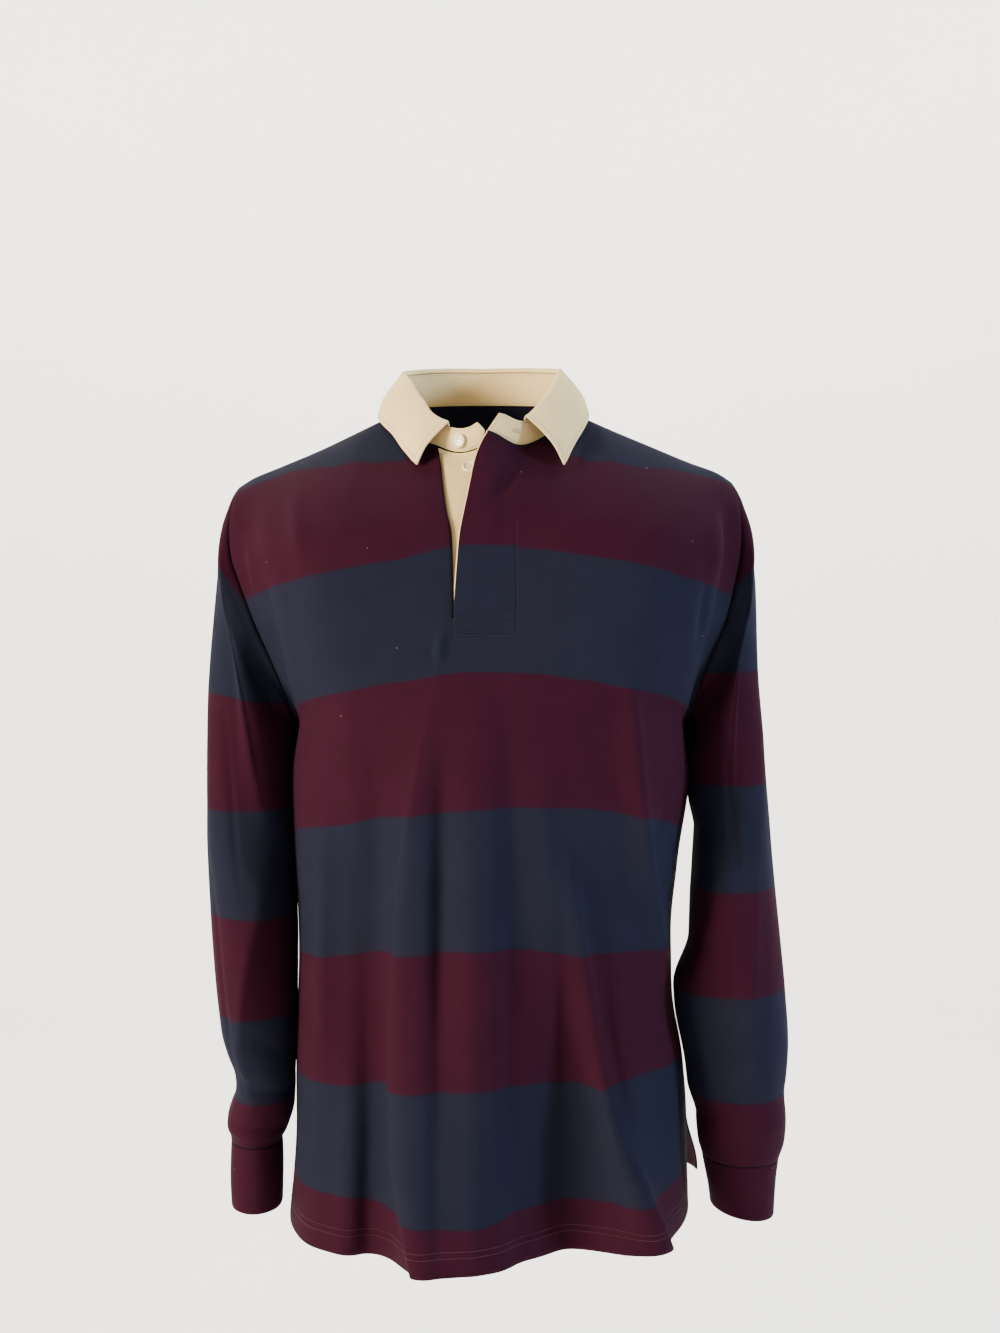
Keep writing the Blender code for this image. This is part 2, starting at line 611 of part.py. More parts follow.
def split_rims(bm, hidden):
    """Splits each rim face from its lower outer corner, so that both sides of a seam are alike."""
    for face in bm.faces[:]:
        shown = [vert for vert in face.verts if vert not in hidden]
        if len(shown) != 2:
            continue
        low = min(shown, key=lambda vert: float(np.dot(vert.co, SPLIT_ORDER)))
        across = face.verts[(list(face.verts).index(low) + 2) % 4]
        bmesh.utils.face_split(face, low, across)


def wall(name, outer, inset, colour, ring=False, open_cells=()):
    """A closed cloth wall: the outer grid, its inner copy, and the rims between them."""
    rows, columns = outer.shape[0] - 1, outer.shape[1] - 1
    inner = outer + inset
    bm = bmesh.new()
    bmesh.ops.create_grid(bm, x_segments=columns, y_segments=rows, size=1.0)
    place = bm.verts.layers.int.new("place")
    for vert in bm.verts:
        column = round((vert.co.x + 1) / 2 * columns)
        row = round((1 - vert.co.y) / 2 * rows)
        vert[place] = row * (columns + 1) + column
        vert.co = outer[row, column]
    gone = [
        face
        for face in bm.faces
        if divmod(min(vert[place] for vert in face.verts), columns + 1) in open_cells
    ]
    bmesh.ops.delete(bm, geom=gone, context="FACES")
    if ring:
        bmesh.ops.remove_doubles(bm, verts=bm.verts, dist=1e-6)
    grown = bmesh.ops.extrude_face_region(bm, geom=bm.faces[:], use_keep_orig=True)
    hidden = {vert for vert in grown["geom"] if isinstance(vert, bmesh.types.BMVert)}
    for vert in hidden:
        vert.co = inner[divmod(vert[place], columns + 1)]
    split_rims(bm, hidden)
    bmesh.ops.recalc_face_normals(bm, faces=bm.faces)
    return finish(name, bm, colour, 0.9)





def neck_loop(front, back, slit, corner):
    """The neck seam from the stand's left end, round the back, to its right end."""
    left = front[0, SHOULDER_COLUMNS : slit + 1][::-1]
    share = np.linspace(1.0, 1.0 / LAP_COLUMNS, LAP_COLUMNS)[:, None]
    lap = left[0] + (np.array(LAP_END) - left[0]) * share + np.array(LAP_DIP) * np.sin(math.pi * share)
    behind = back[0, SHOULDER_COLUMNS : SHOULDER_COLUMNS + 2 * len(BACK_ANGLES) + 1][::-1]
    right = front[0, slit + 1 : slit + 1 + STITCH_CELLS + len(RIGHT_ANGLES)][::-1]
    return np.concatenate([lap, left, behind[1:-1], right, corner[None]])


def neck_outward(points):
    """The level direction away from the collar's middle, and its angle from the front."""
    flat = (points - (NECK_X, 0.0, 0.0)) * (1.0, 1.0, 0.0)
    return unit(flat), np.degrees(np.arctan2(np.abs(flat[..., 0]), -flat[..., 1]))


def stand_grid(loop):
    """The stand's outer points, from its foot at the neck seam up to the fold."""
    out, angle = neck_outward(loop)
    height = follow(COLLAR, 1, angle)
    lean = np.where(loop[:, 0] < NECK_X, follow(COLLAR, 2, angle), follow(COLLAR, 3, angle))
    direction = unit(out * lean[:, None] + np.array([0.0, 0.0, 1.0]))
    shares = np.array(STAND_SHARES)[:, None, None]
    points = loop + direction * height[:, None] * shares
    points = points + out * np.sin(math.pi * shares) * STAND_SWELL
    for column, row_shares, (x, y, z) in STAND_ENDS:
        points[:, column] += np.array(row_shares)[:, None] * (x, y, z)
    return points


def leaf_edge(angle, side):
    """The leaf's outer edge where it lies over the shoulder, front or back."""
    left = side < 0
    ends = []
    for table, back in ((LEAF_FRONT, False), (LEAF_BACK, True)):
        u = np.where(left, follow(table, 1, angle), follow(table, 3, angle))
        t = np.where(left, follow(table, 2, angle), follow(table, 4, angle))
        ends.append(body_point(side * u, t, back))
    share = ramp(82.0, 98.0, angle)[..., None]
    return ends[0] * (1 - share) + ends[1] * share


def leaf_grid(stand, inset, first, last):
    """The leaf from the stand's top, over the roll, down to its edge just off the shoulders.

    Its visible points come first and then how far in its hidden points lie.
    """
    top = stand[-1, first : last + 1].copy()
    step = inset[-1, first : last + 1].copy()
    top[-1] += (top[-2] - top[-1]) * LEAF_END_SHARE
    out, angle = neck_outward(top)
    side = np.where(top[:, 0] < NECK_X, -1.0, 1.0)
    start = np.where(side < 0, angle[0], angle[-1])
    spread = LEAF_START + (angle - start) / (180.0 - start) * (180.0 - LEAF_START)
    up = np.array([0.0, 0.0, 1.0])
    ridge = np.exp(-(((spread - RIDGE_ANGLE) / RIDGE_WIDTH) ** 2))[:, None]
    lift = RIDGE_LIFT * ridge
    edge = leaf_edge(spread, side) + up * (LEAF_LIFT + lift) + out * (LEAF_OUT + 0.7 * lift)
    rows, insets = [], []
    for rise, reach, depth_up, depth_out in ROLL:
        rows.append(top + up * rise + out * reach)
        insets.append(-up * depth_up - out * depth_out)
    rows[0] = top + step + up * ROLL_GAP
    insets[0] = -step
    rows[1] = top + step + up * RISE
    insets[1] = -step - up * RISE_DROP
    over = rows[-1]
    for share, swell in LEAF_FALL:
        rows.append(over + (edge - over) * share + (out + up) * swell)
    points = np.stack(rows)
    inset = walls(points, TWILL, outward=-1.0)
    for row, fixed in enumerate(insets):
        inset[row] = fixed
    return points, inset


def refined(points, parts):
    """The grid with straight steps between its lines."""
    for axis in (0, 1):
        count = points.shape[axis]
        at = np.linspace(0.0, count - 1.0, (count - 1) * parts + 1)
        line = np.minimum(at.astype(int), count - 2)
        share = (at - line).reshape([-1 if k == axis else 1 for k in range(3)])
        points = points.take(line, axis) * (1 - share) + points.take(line + 1, axis) * share
    return points


def make_button(name, points, x, z):
    """A dished button, turned from its profile, just off the point of a grid at this x and z."""
    fine = refined(points, 12)
    away = np.hypot(fine[..., 0] - x, fine[..., 2] - z)
    under = fine[away < BUTTON_PROFILE[2][0] * 1.1]
    out = unit(grid_normals(fine)[away < BUTTON_PROFILE[2][0] * 1.1].mean(0))
    centre = fine[np.unravel_index(away.argmin(), away.shape)]
    centre = centre + out * (((under - centre) @ out).max() + BUTTON_GAP)
    bm = bmesh.new()
    verts = [bm.verts.new((radius, 0.0, height)) for radius, height in BUTTON_PROFILE]
    for a, b in zip(verts, verts[1:]):
        bm.edges.new((a, b))
    bmesh.ops.spin(
        bm,
        geom=bm.verts[:] + bm.edges[:],
        axis=(0.0, 0.0, 1.0),
        cent=(0.0, 0.0, 0.0),
        steps=BUTTON_SIDES,
        angle=2 * math.pi,
        use_merge=True,
    )
    bmesh.ops.remove_doubles(bm, verts=bm.verts, dist=1e-6)
    bmesh.ops.recalc_face_normals(bm, faces=bm.faces)
    across = unit(np.cross((0.0, 0.0, 1.0), out))
    along = np.cross(out, across)
    for vert in bm.verts:
        vert.co = centre + across * vert.co.x + along * vert.co.y + out * vert.co.z
    return finish(name, bm, IVORY, 0.35)


def overlay_grid(front, slit, open_here):
    """The overlay's points on the front, from its free edge to its stitched side."""
    foot = int(np.nonzero(open_here)[0].max()) + 1
    on_front = front[: foot + 1, slit + 1 : slit + 2 + STITCH_CELLS]
    away = unit(on_front[:, :1] - on_front[:, 1:2])
    return np.concatenate([on_front[:, :1] + away * OVERLAY_LAP, on_front], axis=1)


def underlay_grid(loop, t):
    """The underlay hangs inside the front, from behind the stand's left end to the placket's foot."""
    height = body_point(np.full(len(t), SLIT_U), t)[:, 2]
    kept = (height > UNDERLAY_FOOT_Z) & (t > 0.0)
    rows, height = t[kept], height[kept]
    reach = np.array(UNDERLAY_COLUMNS)
    x = follow(SLIT, 1, height)[:, None] + reach * ramp(-0.26, -0.17, height)[:, None]
    tt = np.broadcast_to(rows[:, None], x.shape)
    u = u_at(x, tt)
    low = folded(body_point(u, tt), FRONT_FOLDS, u, tt)
    line = loop[: LAP_COLUMNS + len(LEFT_ANGLES)]
    line = line[np.argsort(line[:, 0])]
    x_top = line[:, 0].max() - UNDERLAY_TOP_IN + reach - reach[-1]
    top = stack(x_top, np.interp(x_top, line[:, 0], line[:, 1]), np.interp(x_top, line[:, 0], line[:, 2]))
    points = np.concatenate([top[None], low])
    points = points - grid_normals(points) * (JERSEY + LAY_GAP)
    points[0] += np.array(UNDERLAY_TOP)
    return points


def join_neck(front, front_in, back, back_in, stand, stand_in, slit):
    """Gives the stand's foot and the panels' neck edges shared mitres, a seam's gap apart."""
    n = SHOULDER_COLUMNS
    left = slit - n + 1
    behind = 2 * len(BACK_ANGLES) + 1
    right = STITCH_CELLS + len(RIGHT_ANGLES)
    first_behind = LAP_COLUMNS + left
    first_right = first_behind + behind - 2
    runs = (
        (slice(LAP_COLUMNS, first_behind), front, front_in, slice(slit, n - 1, -1)),
        (slice(first_behind, first_right), back, back_in, slice(n + behind - 2, n, -1)),
        (slice(first_right, first_right + right), front, front_in, slice(slit + right, slit, -1)),
    )
    for foot, panel, panel_in, edge in runs:
        seam(
            [
                (stand[0, foot], stand_in[0, foot], stand[1, foot]),
                (panel[0, edge], panel_in[0, edge], panel[1, edge]),
            ]
        )
    for foot, f, b in ((first_behind - 1, n, n + behind - 1), (first_right, slit + right, n)):
        shared = meet(stand_in[0, foot], front_in[0, f], back_in[0, b])
        stand_in[0, foot] = shared * TWILL
        front_in[0, f] = back_in[0, b] = shared * JERSEY
        stand[0, foot] += (0.0, 0.0, 2 * SEAM_GAP)
        back[0, b] = front[0, f] + (0.0, SEAM_GAP, 0.0)
        front[0, f] -= (0.0, SEAM_GAP / 2, 0.0)


def join_side(side, front, front_in, back, back_in, sleeve, sleeve_in):
    """Shares mitres along the shoulder, side and armhole seams of one side."""
    n, rows = SHOULDER_COLUMNS, ARMHOLE_ROWS
    first, step = (0, 1) if side < 0 else (-1, -1)
    last = -1 - first
    shoulder_f = slice(0, n) if side < 0 else slice(None, -n - 1, -1)
    shoulder_b = slice(None, -n - 1, -1) if side < 0 else slice(0, n)
    seam(
        [
            (front[0, shoulder_f], front_in[0, shoulder_f], front[1, shoulder_f]),
            (back[0, shoulder_b], back_in[0, shoulder_b], back[1, shoulder_b]),
        ]
    )
    below = slice(rows + 1, None)
    seam(
        [
            (front[below, first], front_in[below, first], front[below, first + step]),
            (back[below, last], back_in[below, last], back[below, last - step]),
        ],
        gap=SIDE_GAP,
    )
    down, up = slice(0, rows + 1), slice(None, rows - 1, -1)
    front_turn = meet(front_in[down, first], sleeve_in[0, down])
    back_turn = meet(back_in[down, last], sleeve_in[0, up])
    for row in (0, rows):
        corner = meet(front_in[row, first], back_in[row, last], sleeve_in[0, row])
        front_turn[row] = back_turn[row] = corner
    for points, insets, line, beside, turn in (
        (front, front_in, first, first + step, front_turn),
        (back, back_in, last, last - step, back_turn),
    ):
        draw = np.linalg.norm(turn, axis=-1, keepdims=True) * SIDE_GAP / 2
        points[down, line] += unit(points[down, beside] - points[down, line]) * draw
        insets[down, line] = turn * JERSEY
    ring_turn = np.concatenate([front_turn, back_turn[::-1][1:]])
    draw = np.linalg.norm(ring_turn, axis=-1, keepdims=True) * SIDE_GAP / 2
    sleeve[0] += unit(sleeve[1] - sleeve[0]) * draw
    sleeve_in[0] = ring_turn * JERSEY


def build_body():
    """The panels, sleeves, cuffs and stand, joined at their seams, and what lies on them."""
    t = body_rows()
    front, slit, open_here = front_grid(t)
    back = back_grid(t)
    front_in, back_in = walls(front, JERSEY), walls(back, JERSEY)
    overlay = overlay_grid(front, slit, open_here)
    loop = neck_loop(front, back, slit, overlay[0, 0])
    stand = stand_grid(loop)
    stand_in = walls(stand, TWILL)
    underlay = underlay_grid(loop, t)
    join_neck(front, front_in, back, back_in, stand, stand_in, slit)
    for side, word, arm_table, hand_table in (
        (-1, "right", SLEEVE_RIGHT, CUFF_RIGHT),
        (1, "left", SLEEVE_LEFT, CUFF_LEFT),
    ):
        sleeve = sleeve_grid(arm_table, side, armhole_ring(front, back, side))
        round_it = np.linspace(0.0, 2 * math.pi, sleeve.shape[1])
        angle, w = np.meshgrid(round_it, np.linspace(0.0, 1.0, CUFF_ROWS + 1))
        cuff = tube_point(hand_table, side, angle, w)
        sleeve_in = walls(sleeve, JERSEY, ring=True, outward=-side)
        cuff_in = walls(cuff, CUFF, ring=True, outward=-side)
        join_side(side, front, front_in, back, back_in, sleeve, sleeve_in)
        seam([(sleeve[-1], sleeve_in[-1], sleeve[-2]), (cuff[0], cuff_in[0], cuff[1])])
        wall("sleeve_" + word, sleeve, sleeve_in, NAVY, ring=True)
        wall("cuff_" + word, cuff, cuff_in, BURGUNDY, ring=True)
    slit_cells = {(row, slit) for row in range(int(open_here.sum()))}
    wall("front_panel", front, front_in, BURGUNDY, open_cells=slit_cells)
    wall("back_panel", back, back_in, BURGUNDY)
    return stand, stand_in, overlay, underlay


def main():
    clear_scene()
    stand, stand_in, overlay, underlay = build_body()
    wall("collar_stand", stand, stand_in, ECRU)
    leaf, leaf_in = leaf_grid(stand, stand_in, LAP_COLUMNS - 1, stand.shape[1] - STITCH_CELLS - 2)
    wall("collar_leaf", leaf, leaf_in, ECRU)
    overlay_out = grid_normals(overlay)
    wall("placket_overlay", overlay + overlay_out * (LAY_GAP + JERSEY), -overlay_out * JERSEY, NAVY)
    wall("placket_underlay", underlay, walls(underlay, UNDERLAY), ECRU)
    make_button("button_band", stand[:, : LAP_COLUMNS + 2], *BAND_BUTTON)
    make_button("button_placket", underlay, *PLACKET_BUTTON)


main()
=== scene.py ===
"""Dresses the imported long-sleeve polo shirt: striped jersey, twill collar and placket, buttons,
stitching and a plain stage.

Metres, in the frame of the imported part: +Z up, the front faces -Y, and +X is the wearer's left.
The pieces are named for the wearer's sides. In the tables and functions, left and right are as
seen from the front, so left is at -X.
"""

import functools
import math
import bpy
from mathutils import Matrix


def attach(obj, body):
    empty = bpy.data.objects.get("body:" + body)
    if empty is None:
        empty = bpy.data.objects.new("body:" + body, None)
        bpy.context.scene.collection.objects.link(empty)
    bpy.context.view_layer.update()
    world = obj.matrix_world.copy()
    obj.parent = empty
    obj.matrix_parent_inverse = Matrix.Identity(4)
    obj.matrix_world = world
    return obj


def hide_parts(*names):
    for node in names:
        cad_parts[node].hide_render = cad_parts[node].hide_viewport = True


bl_info = {
    "name": "Long-sleeve polo shirt",
    "version": (1, 0, 0),
    "blender": (4, 5, 0),
    "location": "3D View > Sidebar > Shirt",
    "description": "Builds a worn long-sleeve polo shirt round its packed solids",
    "category": "Object",
}

import bmesh
import bpy
import numpy as np
from mathutils import Matrix, Vector

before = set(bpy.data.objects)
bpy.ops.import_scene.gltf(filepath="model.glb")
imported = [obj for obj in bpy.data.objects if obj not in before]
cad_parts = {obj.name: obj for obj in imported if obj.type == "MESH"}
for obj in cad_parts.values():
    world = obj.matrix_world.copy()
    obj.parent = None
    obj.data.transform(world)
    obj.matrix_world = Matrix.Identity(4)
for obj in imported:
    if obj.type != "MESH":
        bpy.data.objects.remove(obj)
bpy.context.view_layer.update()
BODY = "root"

# Walls and clearances
JERSEY = 0.0016
TWILL = 0.0018
UNDERLAY = 0.0014
CUFF = 0.0024
LAY_GAP = 0.0006

# Neck and shoulders
NECK_X = -0.007
NECK_HALF = 0.078
NECK_FRONT = 0.085
NECK_BACK = 0.062
NECK_FRONT_Z = -0.042
NECK_BACK_Z = 0.018
NECK_U = 0.27
NECK_POWER = 0.877
SHOULDER_TOP_Z = {-1: 0.005, 1: 0.008}
# How steeply a panel leaves its top row: out and down at the neck, and what the shoulder adds
START_OUT, START_DOWN = 0.075, 0.075
SHOULDER_OUT, SHOULDER_UP = 0.055, 0.060

# Columns: angles round the neck from the front or back, and cells across the placket's overlap
LEFT_ANGLES = (24.0, 33.0, 43.0, 55.0, 70.0, 90.0)
RIGHT_ANGLES = (26.0, 36.0, 48.0, 62.0, 76.0, 90.0)
BACK_ANGLES = (16.0, 32.0, 48.0, 62.0, 76.0, 90.0)
SHOULDER_COLUMNS = 9
STITCH_CELLS = 3

# Placket: its overlap runs from the slit to the stitched side
SLIT_X = -0.0300
SLIT_U = -0.08
CLOSED_CELL = 0.003
SLIT_TIP_Z = -0.190
OVERLAY_RIGHT_X = 0.0270
OVERLAY_LAP = 0.0040
OVERLAY_FOOT_Z = -0.2085
# The underlay's columns, from the slit's left edge, and how its top row is set back
UNDERLAY_FOOT_Z = -0.204
UNDERLAY_COLUMNS = (-0.005, 0.0056, 0.0162, 0.0268, 0.0374, 0.0480)
UNDERLAY_TOP_IN = 0.002
UNDERLAY_TOP = (0.0, 0.0014, 0.0005)
# The open flap is raised from FLAP_LOW_Z to the neck, and swings about this far past its stitches
FLAP_RAISE = 0.0185
FLAP_HINGE = 0.012
FLAP_LOW_Z = -0.085

# Rows of the body: the armhole ends at 1 and the hem is at 2
CHEST_T = 0.45
ARMHOLE_ROWS = 12
SIDE_ROWS = 14
# A section's pull towards its corner, and how its height falls away from the middle
SECTION_PULL = 0.58
CORNER_REACH = 0.5
DROOP_POWER = 2.2
# The side vents open below here; the back's left corner flares and its edges ride up
VENT_T = 1.82
VENT_FLARE = 0.08
BACK_EDGE_UP = 0.012

# The middle of the body, the turn of its sections at the sides, and their corners' depths
MIDDLE = (
    # t, z, y_front, y_back, turn, corner_front, corner_back
    (0.45, -0.120, -0.1260, 0.098, 50.0, -0.145, 0.140),
    (0.62, -0.163, -0.1350, 0.106, 64.0, -0.154, 0.150),
    (0.80, -0.213, -0.1420, 0.112, 78.0, -0.149, 0.146),
    (1.00, -0.268, -0.1450, 0.115, 88.0, -0.127, 0.128),
    (1.25, -0.392, -0.1420, 0.111, 90.0, -0.100, 0.115),
    (1.42, -0.475, -0.1390, 0.107, 90.0, -0.087, 0.109),
    (1.55, -0.540, -0.1375, 0.106, 90.0, -0.081, 0.108),
    (1.70, -0.612, -0.1370, 0.110, 90.0, -0.079, 0.110),
    (1.85, -0.690, -0.1380, 0.117, 90.0, -0.081, 0.116),
    (2.00, -0.770, -0.1400, 0.124, 86.0, -0.100, 0.143),
)

# Armhole seam down to 1, then side seam; the sides part at the vents
EDGE = (
    # t, x_left, x_right, y_front, y_back, z_left, z_right
    (0.45, 0.2370, 0.2335, -0.054, 0.056, -0.150, -0.146),
    (0.62, 0.2220, 0.2235, -0.058, 0.060, -0.190, -0.190),
    (0.80, 0.2030, 0.2060, -0.046, 0.052, -0.240, -0.240),
    (0.92, 0.1905, 0.1945, -0.018, 0.034, -0.284, -0.284),
    (1.00, 0.1860, 0.1900, 0.012, 0.012, -0.303, -0.303),
    (1.10, 0.1895, 0.1940, 0.013, 0.013, -0.352, -0.354),
    (1.25, 0.1885, 0.1840, 0.015, 0.015, -0.425, -0.428),
    (1.42, 0.1855, 0.1765, 0.016, 0.016, -0.506, -0.508),
    (1.55, 0.1850, 0.1790, 0.016, 0.016, -0.569, -0.565),
    (1.70, 0.1875, 0.1900, 0.016, 0.016, -0.637, -0.624),
    (1.82, 0.1888, 0.1945, 0.017, 0.017, -0.692, -0.682),
    (2.00, 0.1950, 0.1950, -0.004, 0.046, -0.774, -0.764),
)

# Shoulder line from the neck, 0, to the armhole, 1
SHOULDER = (
    # f, x_left, x_right, z_left, z_right
    (0.00, 0.0850, 0.0710, 0.005, 0.008),
    (0.25, 0.1235, 0.1110, -0.0139, -0.0101),
    (0.50, 0.1620, 0.1515, -0.0322, -0.0270),
    (0.75, 0.2005, 0.1920, -0.0483, -0.0437),
    (0.92, 0.2267, 0.2190, -0.0592, -0.0537),
    (1.00, 0.2390, 0.2320, -0.0670, -0.0620),
)

# The two edges of the open slit, from the neck to the tip
SLIT = (
    # z, x_left, x_overlay, lift
    (-0.220, -0.0300, -0.0300, 0.000),
    (-0.190, -0.0300, -0.0298, 0.000),
    (-0.141, -0.0308, -0.0270, 0.001),
    (-0.118, -0.0320, -0.0250, 0.002),
    (-0.097, -0.0365, -0.0210, 0.003),
    (-0.070, -0.0408, -0.0151, 0.004),
    (-0.057, -0.0428, -0.0108, 0.006),
    (-0.0415, -0.0459, -0.0012, 0.008),
)

# Soft folds of the front, seen along -Y; height is outwards
FRONT_FOLDS = (
    # z_top, x_top, x_middle, z_low, x_low, width_left, width_right, height_middle, height_low
    (-0.215, -0.036, -0.066, -0.775, -0.063, 0.016, 0.070, 0.004, 0.028),
    (-0.330, -0.095, -0.098, -0.775, -0.098, 0.030, 0.024, -0.006, -0.026),
    (-0.300, -0.150, -0.158, -0.775, -0.160, 0.020, 0.022, 0.005, 0.006),
    (-0.420, 0.075, 0.080, -0.775, 0.082, 0.035, 0.030, -0.008, -0.042),
    (-0.390, 0.068, 0.104, -0.775, 0.140, 0.026, 0.026, 0.008, 0.012),
    (-0.220, 0.124, 0.142, -0.560, 0.166, 0.022, 0.016, 0.006, 0.000),
    (-0.100, 0.166, 0.170, -0.300, 0.160, 0.016, 0.016, -0.004, 0.000),
    (-0.100, -0.172, -0.176, -0.320, -0.168, 0.016, 0.016, -0.003, 0.000),
)
BACK_FOLDS = (
    (-0.200, -0.080, -0.070, -0.770, -0.058, 0.035, 0.040, -0.006, -0.018),
    (-0.300, 0.000, 0.004, -0.770, 0.010, 0.035, 0.035, 0.003, 0.008),
    (-0.180, 0.090, 0.078, -0.770, 0.072, 0.040, 0.035, -0.007, -0.020),
    (-0.300, 0.135, 0.140, -0.770, 0.140, 0.030, 0.030, 0.004, 0.012),
    (-0.300, -0.130, -0.136, -0.770, -0.140, 0.030, 0.030, 0.004, 0.010),
)
# The valley beside each armhole: its depth, its place across the panel and its width
ARMHOLE_VALLEY, VALLEY_U, VALLEY_WIDE = 0.007, 0.93, 0.06
FOLD_START = 0.12
FOLD_FADE = 0.05

# The wearer's sleeves from the armhole to the cuff seam; x is the distance from the middle
SLEEVE_RIGHT = (
    # w, x_outer, z_outer, x_inner, z_inner, y, half_depth
    (0.000, 0.2390, -0.067, 0.1860, -0.303, 0.002, 0.057),
    (0.050, 0.2490, -0.092, 0.1975, -0.304, 0.002, 0.064),
    (0.110, 0.2560, -0.122, 0.2025, -0.314, 0.001, 0.067),
    (0.190, 0.2610, -0.165, 0.2010, -0.340, 0.000, 0.067),
    (0.300, 0.2645, -0.225, 0.1985, -0.380, -0.002, 0.065),
    (0.440, 0.2685, -0.300, 0.1965, -0.430, -0.004, 0.062),
    (0.600, 0.2710, -0.395, 0.1955, -0.495, -0.008, 0.058),
    (0.760, 0.2670, -0.500, 0.1950, -0.565, -0.012, 0.053),
    (0.880, 0.2585, -0.585, 0.1955, -0.622, -0.016, 0.048),
    (0.945, 0.2440, -0.645, 0.1985, -0.657, -0.018, 0.042),
    (0.975, 0.2525, -0.672, 0.1970, -0.680, -0.019, 0.041),
    (1.000, 0.2485, -0.693, 0.2000, -0.695, -0.020, 0.035),
)
SLEEVE_LEFT = (
    (0.000, 0.2320, -0.062, 0.1900, -0.303, 0.002, 0.057),
    (0.050, 0.2440, -0.092, 0.2015, -0.304, 0.002, 0.064),
    (0.110, 0.2500, -0.122, 0.2065, -0.314, 0.001, 0.067),
    (0.190, 0.2535, -0.160, 0.2050, -0.340, 0.000, 0.067),
    (0.300, 0.2548, -0.225, 0.2005, -0.382, -0.002, 0.065),
    (0.440, 0.2620, -0.303, 0.1970, -0.422, -0.004, 0.062),
    (0.600, 0.2725, -0.418, 0.1935, -0.480, -0.008, 0.058),
    (0.700, 0.2790, -0.480, 0.1925, -0.522, -0.010, 0.055),
    (0.800, 0.2855, -0.550, 0.1935, -0.578, -0.013, 0.051),
    (0.880, 0.2888, -0.600, 0.1990, -0.616, -0.015, 0.048),
    (0.950, 0.2860, -0.655, 0.2010, -0.662, -0.018, 0.045),
    (0.980, 0.2862, -0.692, 0.2025, -0.692, -0.019, 0.043),
    (1.000, 0.2800, -0.712, 0.2060, -0.710, -0.020, 0.037),
)
CUFF_RIGHT = (
    # w, x_outer, z_outer, x_inner, z_inner, y, half_depth
    (0.0, 0.2485, -0.693, 0.2000, -0.695, -0.020, 0.035),
    (0.5, 0.2495, -0.726, 0.1985, -0.727, -0.021, 0.035),
    (1.0, 0.2486, -0.757, 0.1995, -0.758, -0.022, 0.034),
)
CUFF_LEFT = (
    (0.0, 0.2800, -0.712, 0.2060, -0.710, -0.020, 0.037),
    (0.5, 0.2765, -0.738, 0.2110, -0.736, -0.021, 0.036),
    (1.0, 0.2746, -0.767, 0.2146, -0.758, -0.022, 0.035),
)
# Rows of a sleeve below the armhole
SLEEVE_ROWS = (
    0.03, 0.07, 0.12, 0.18, 0.25, 0.33, 0.42, 0.51,
    0.60, 0.69, 0.78, 0.86, 0.92, 0.95, 0.975, 1.0,
)
# Folds along a sleeve; angle is 0 at the outside and 90 at the front
SLEEVE_FOLDS = (
    # w_top, angle_top, w_low, angle_low, width_angle, height
    (0.05, 62.0, 0.55, 100.0, 22.0, -0.006),
    (0.15, 20.0, 0.70, 60.0, 20.0, 0.004),
    (0.45, 130.0, 0.95, 70.0, 20.0, 0.004),
    (0.10, 250.0, 0.80, 280.0, 30.0, -0.006),
)

# The stand's left end laps over the slit: where its foot ends, and how it dips on the way
LAP_COLUMNS = 4
LAP_END = (-0.0046, -0.092, -0.0370)
LAP_DIP = (0.0, -0.0025, -0.0060)
STAND_SHARES = (0.0, 0.33, 0.67, 1.0)
STAND_SWELL = 0.0015
# The stand's height and outward lean round the neck
COLLAR = (
    # angle from the front, height, lean_left, lean_right
    (0.0, 0.0215, 0.10, 0.10),
    (25.0, 0.0218, 0.00, 0.04),
    (49.0, 0.0320, -0.31, -0.06),
    (64.0, 0.0340, -0.34, -0.15),
    (76.0, 0.0345, -0.31, -0.15),
    (90.0, 0.0330, -0.12, -0.12),
    (135.0, 0.0330, -0.12, -0.12),
    (180.0, 0.0320, -0.14, -0.14),
)
# Where the stand's two ends are cut to a slant: column, share on each row, offset
STAND_ENDS = (
    (0, (0.0, 0.0, 0.2, 1.0), (-0.0055, 0.0000, -0.0005)),
    (0, (0.0, 0.6, 1.0, 0.0), (0.0022, 0.0000, 0.0000)),
    (1, (0.0, 0.0, 0.2, 1.0), (-0.0020, 0.0000, -0.0005)),
    (-1, (0.0, 0.33, 0.67, 1.0), (0.0107, 0.0030, -0.0050)),
    (-2, (0.0, 0.33, 0.67, 1.0), (0.0105, 0.0030, -0.0045)),
    (-3, (0.0, 0.33, 0.67, 1.0), (0.0070, 0.0020, -0.0025)),
    (-4, (0.0, 0.33, 0.67, 1.0), (0.0045, 0.0010, -0.0010)),
    (-5, (0.0, 0.33, 0.67, 1.0), (0.0025, 0.0000, 0.0000)),
)
# The leaf starts inside the stand's top, this far above it, and rolls over: how far up and out
INSIDE_RISES = (0.0006, 0.0026)
ROLL = ((0.0049, 0.0010), (0.0024, 0.0056))
# The leaf between the roll, 0, and its edge, 1, and how far it swells
LEAF_FALL = ((0.33, 0.0026), (0.68, 0.0034), (1.0, 0.0))
# Where the leaf ends between two columns of the stand, and how its edge clears the shoulders
LEAF_START = 30.0
LEAF_END_SHARE = 0.4
LEAF_LIFT = 0.0040
LEAF_OUT = 0.0032
RIDGE_LIFT = 0.0050
RIDGE_ANGLE = 104.0
RIDGE_WIDTH = 30.0
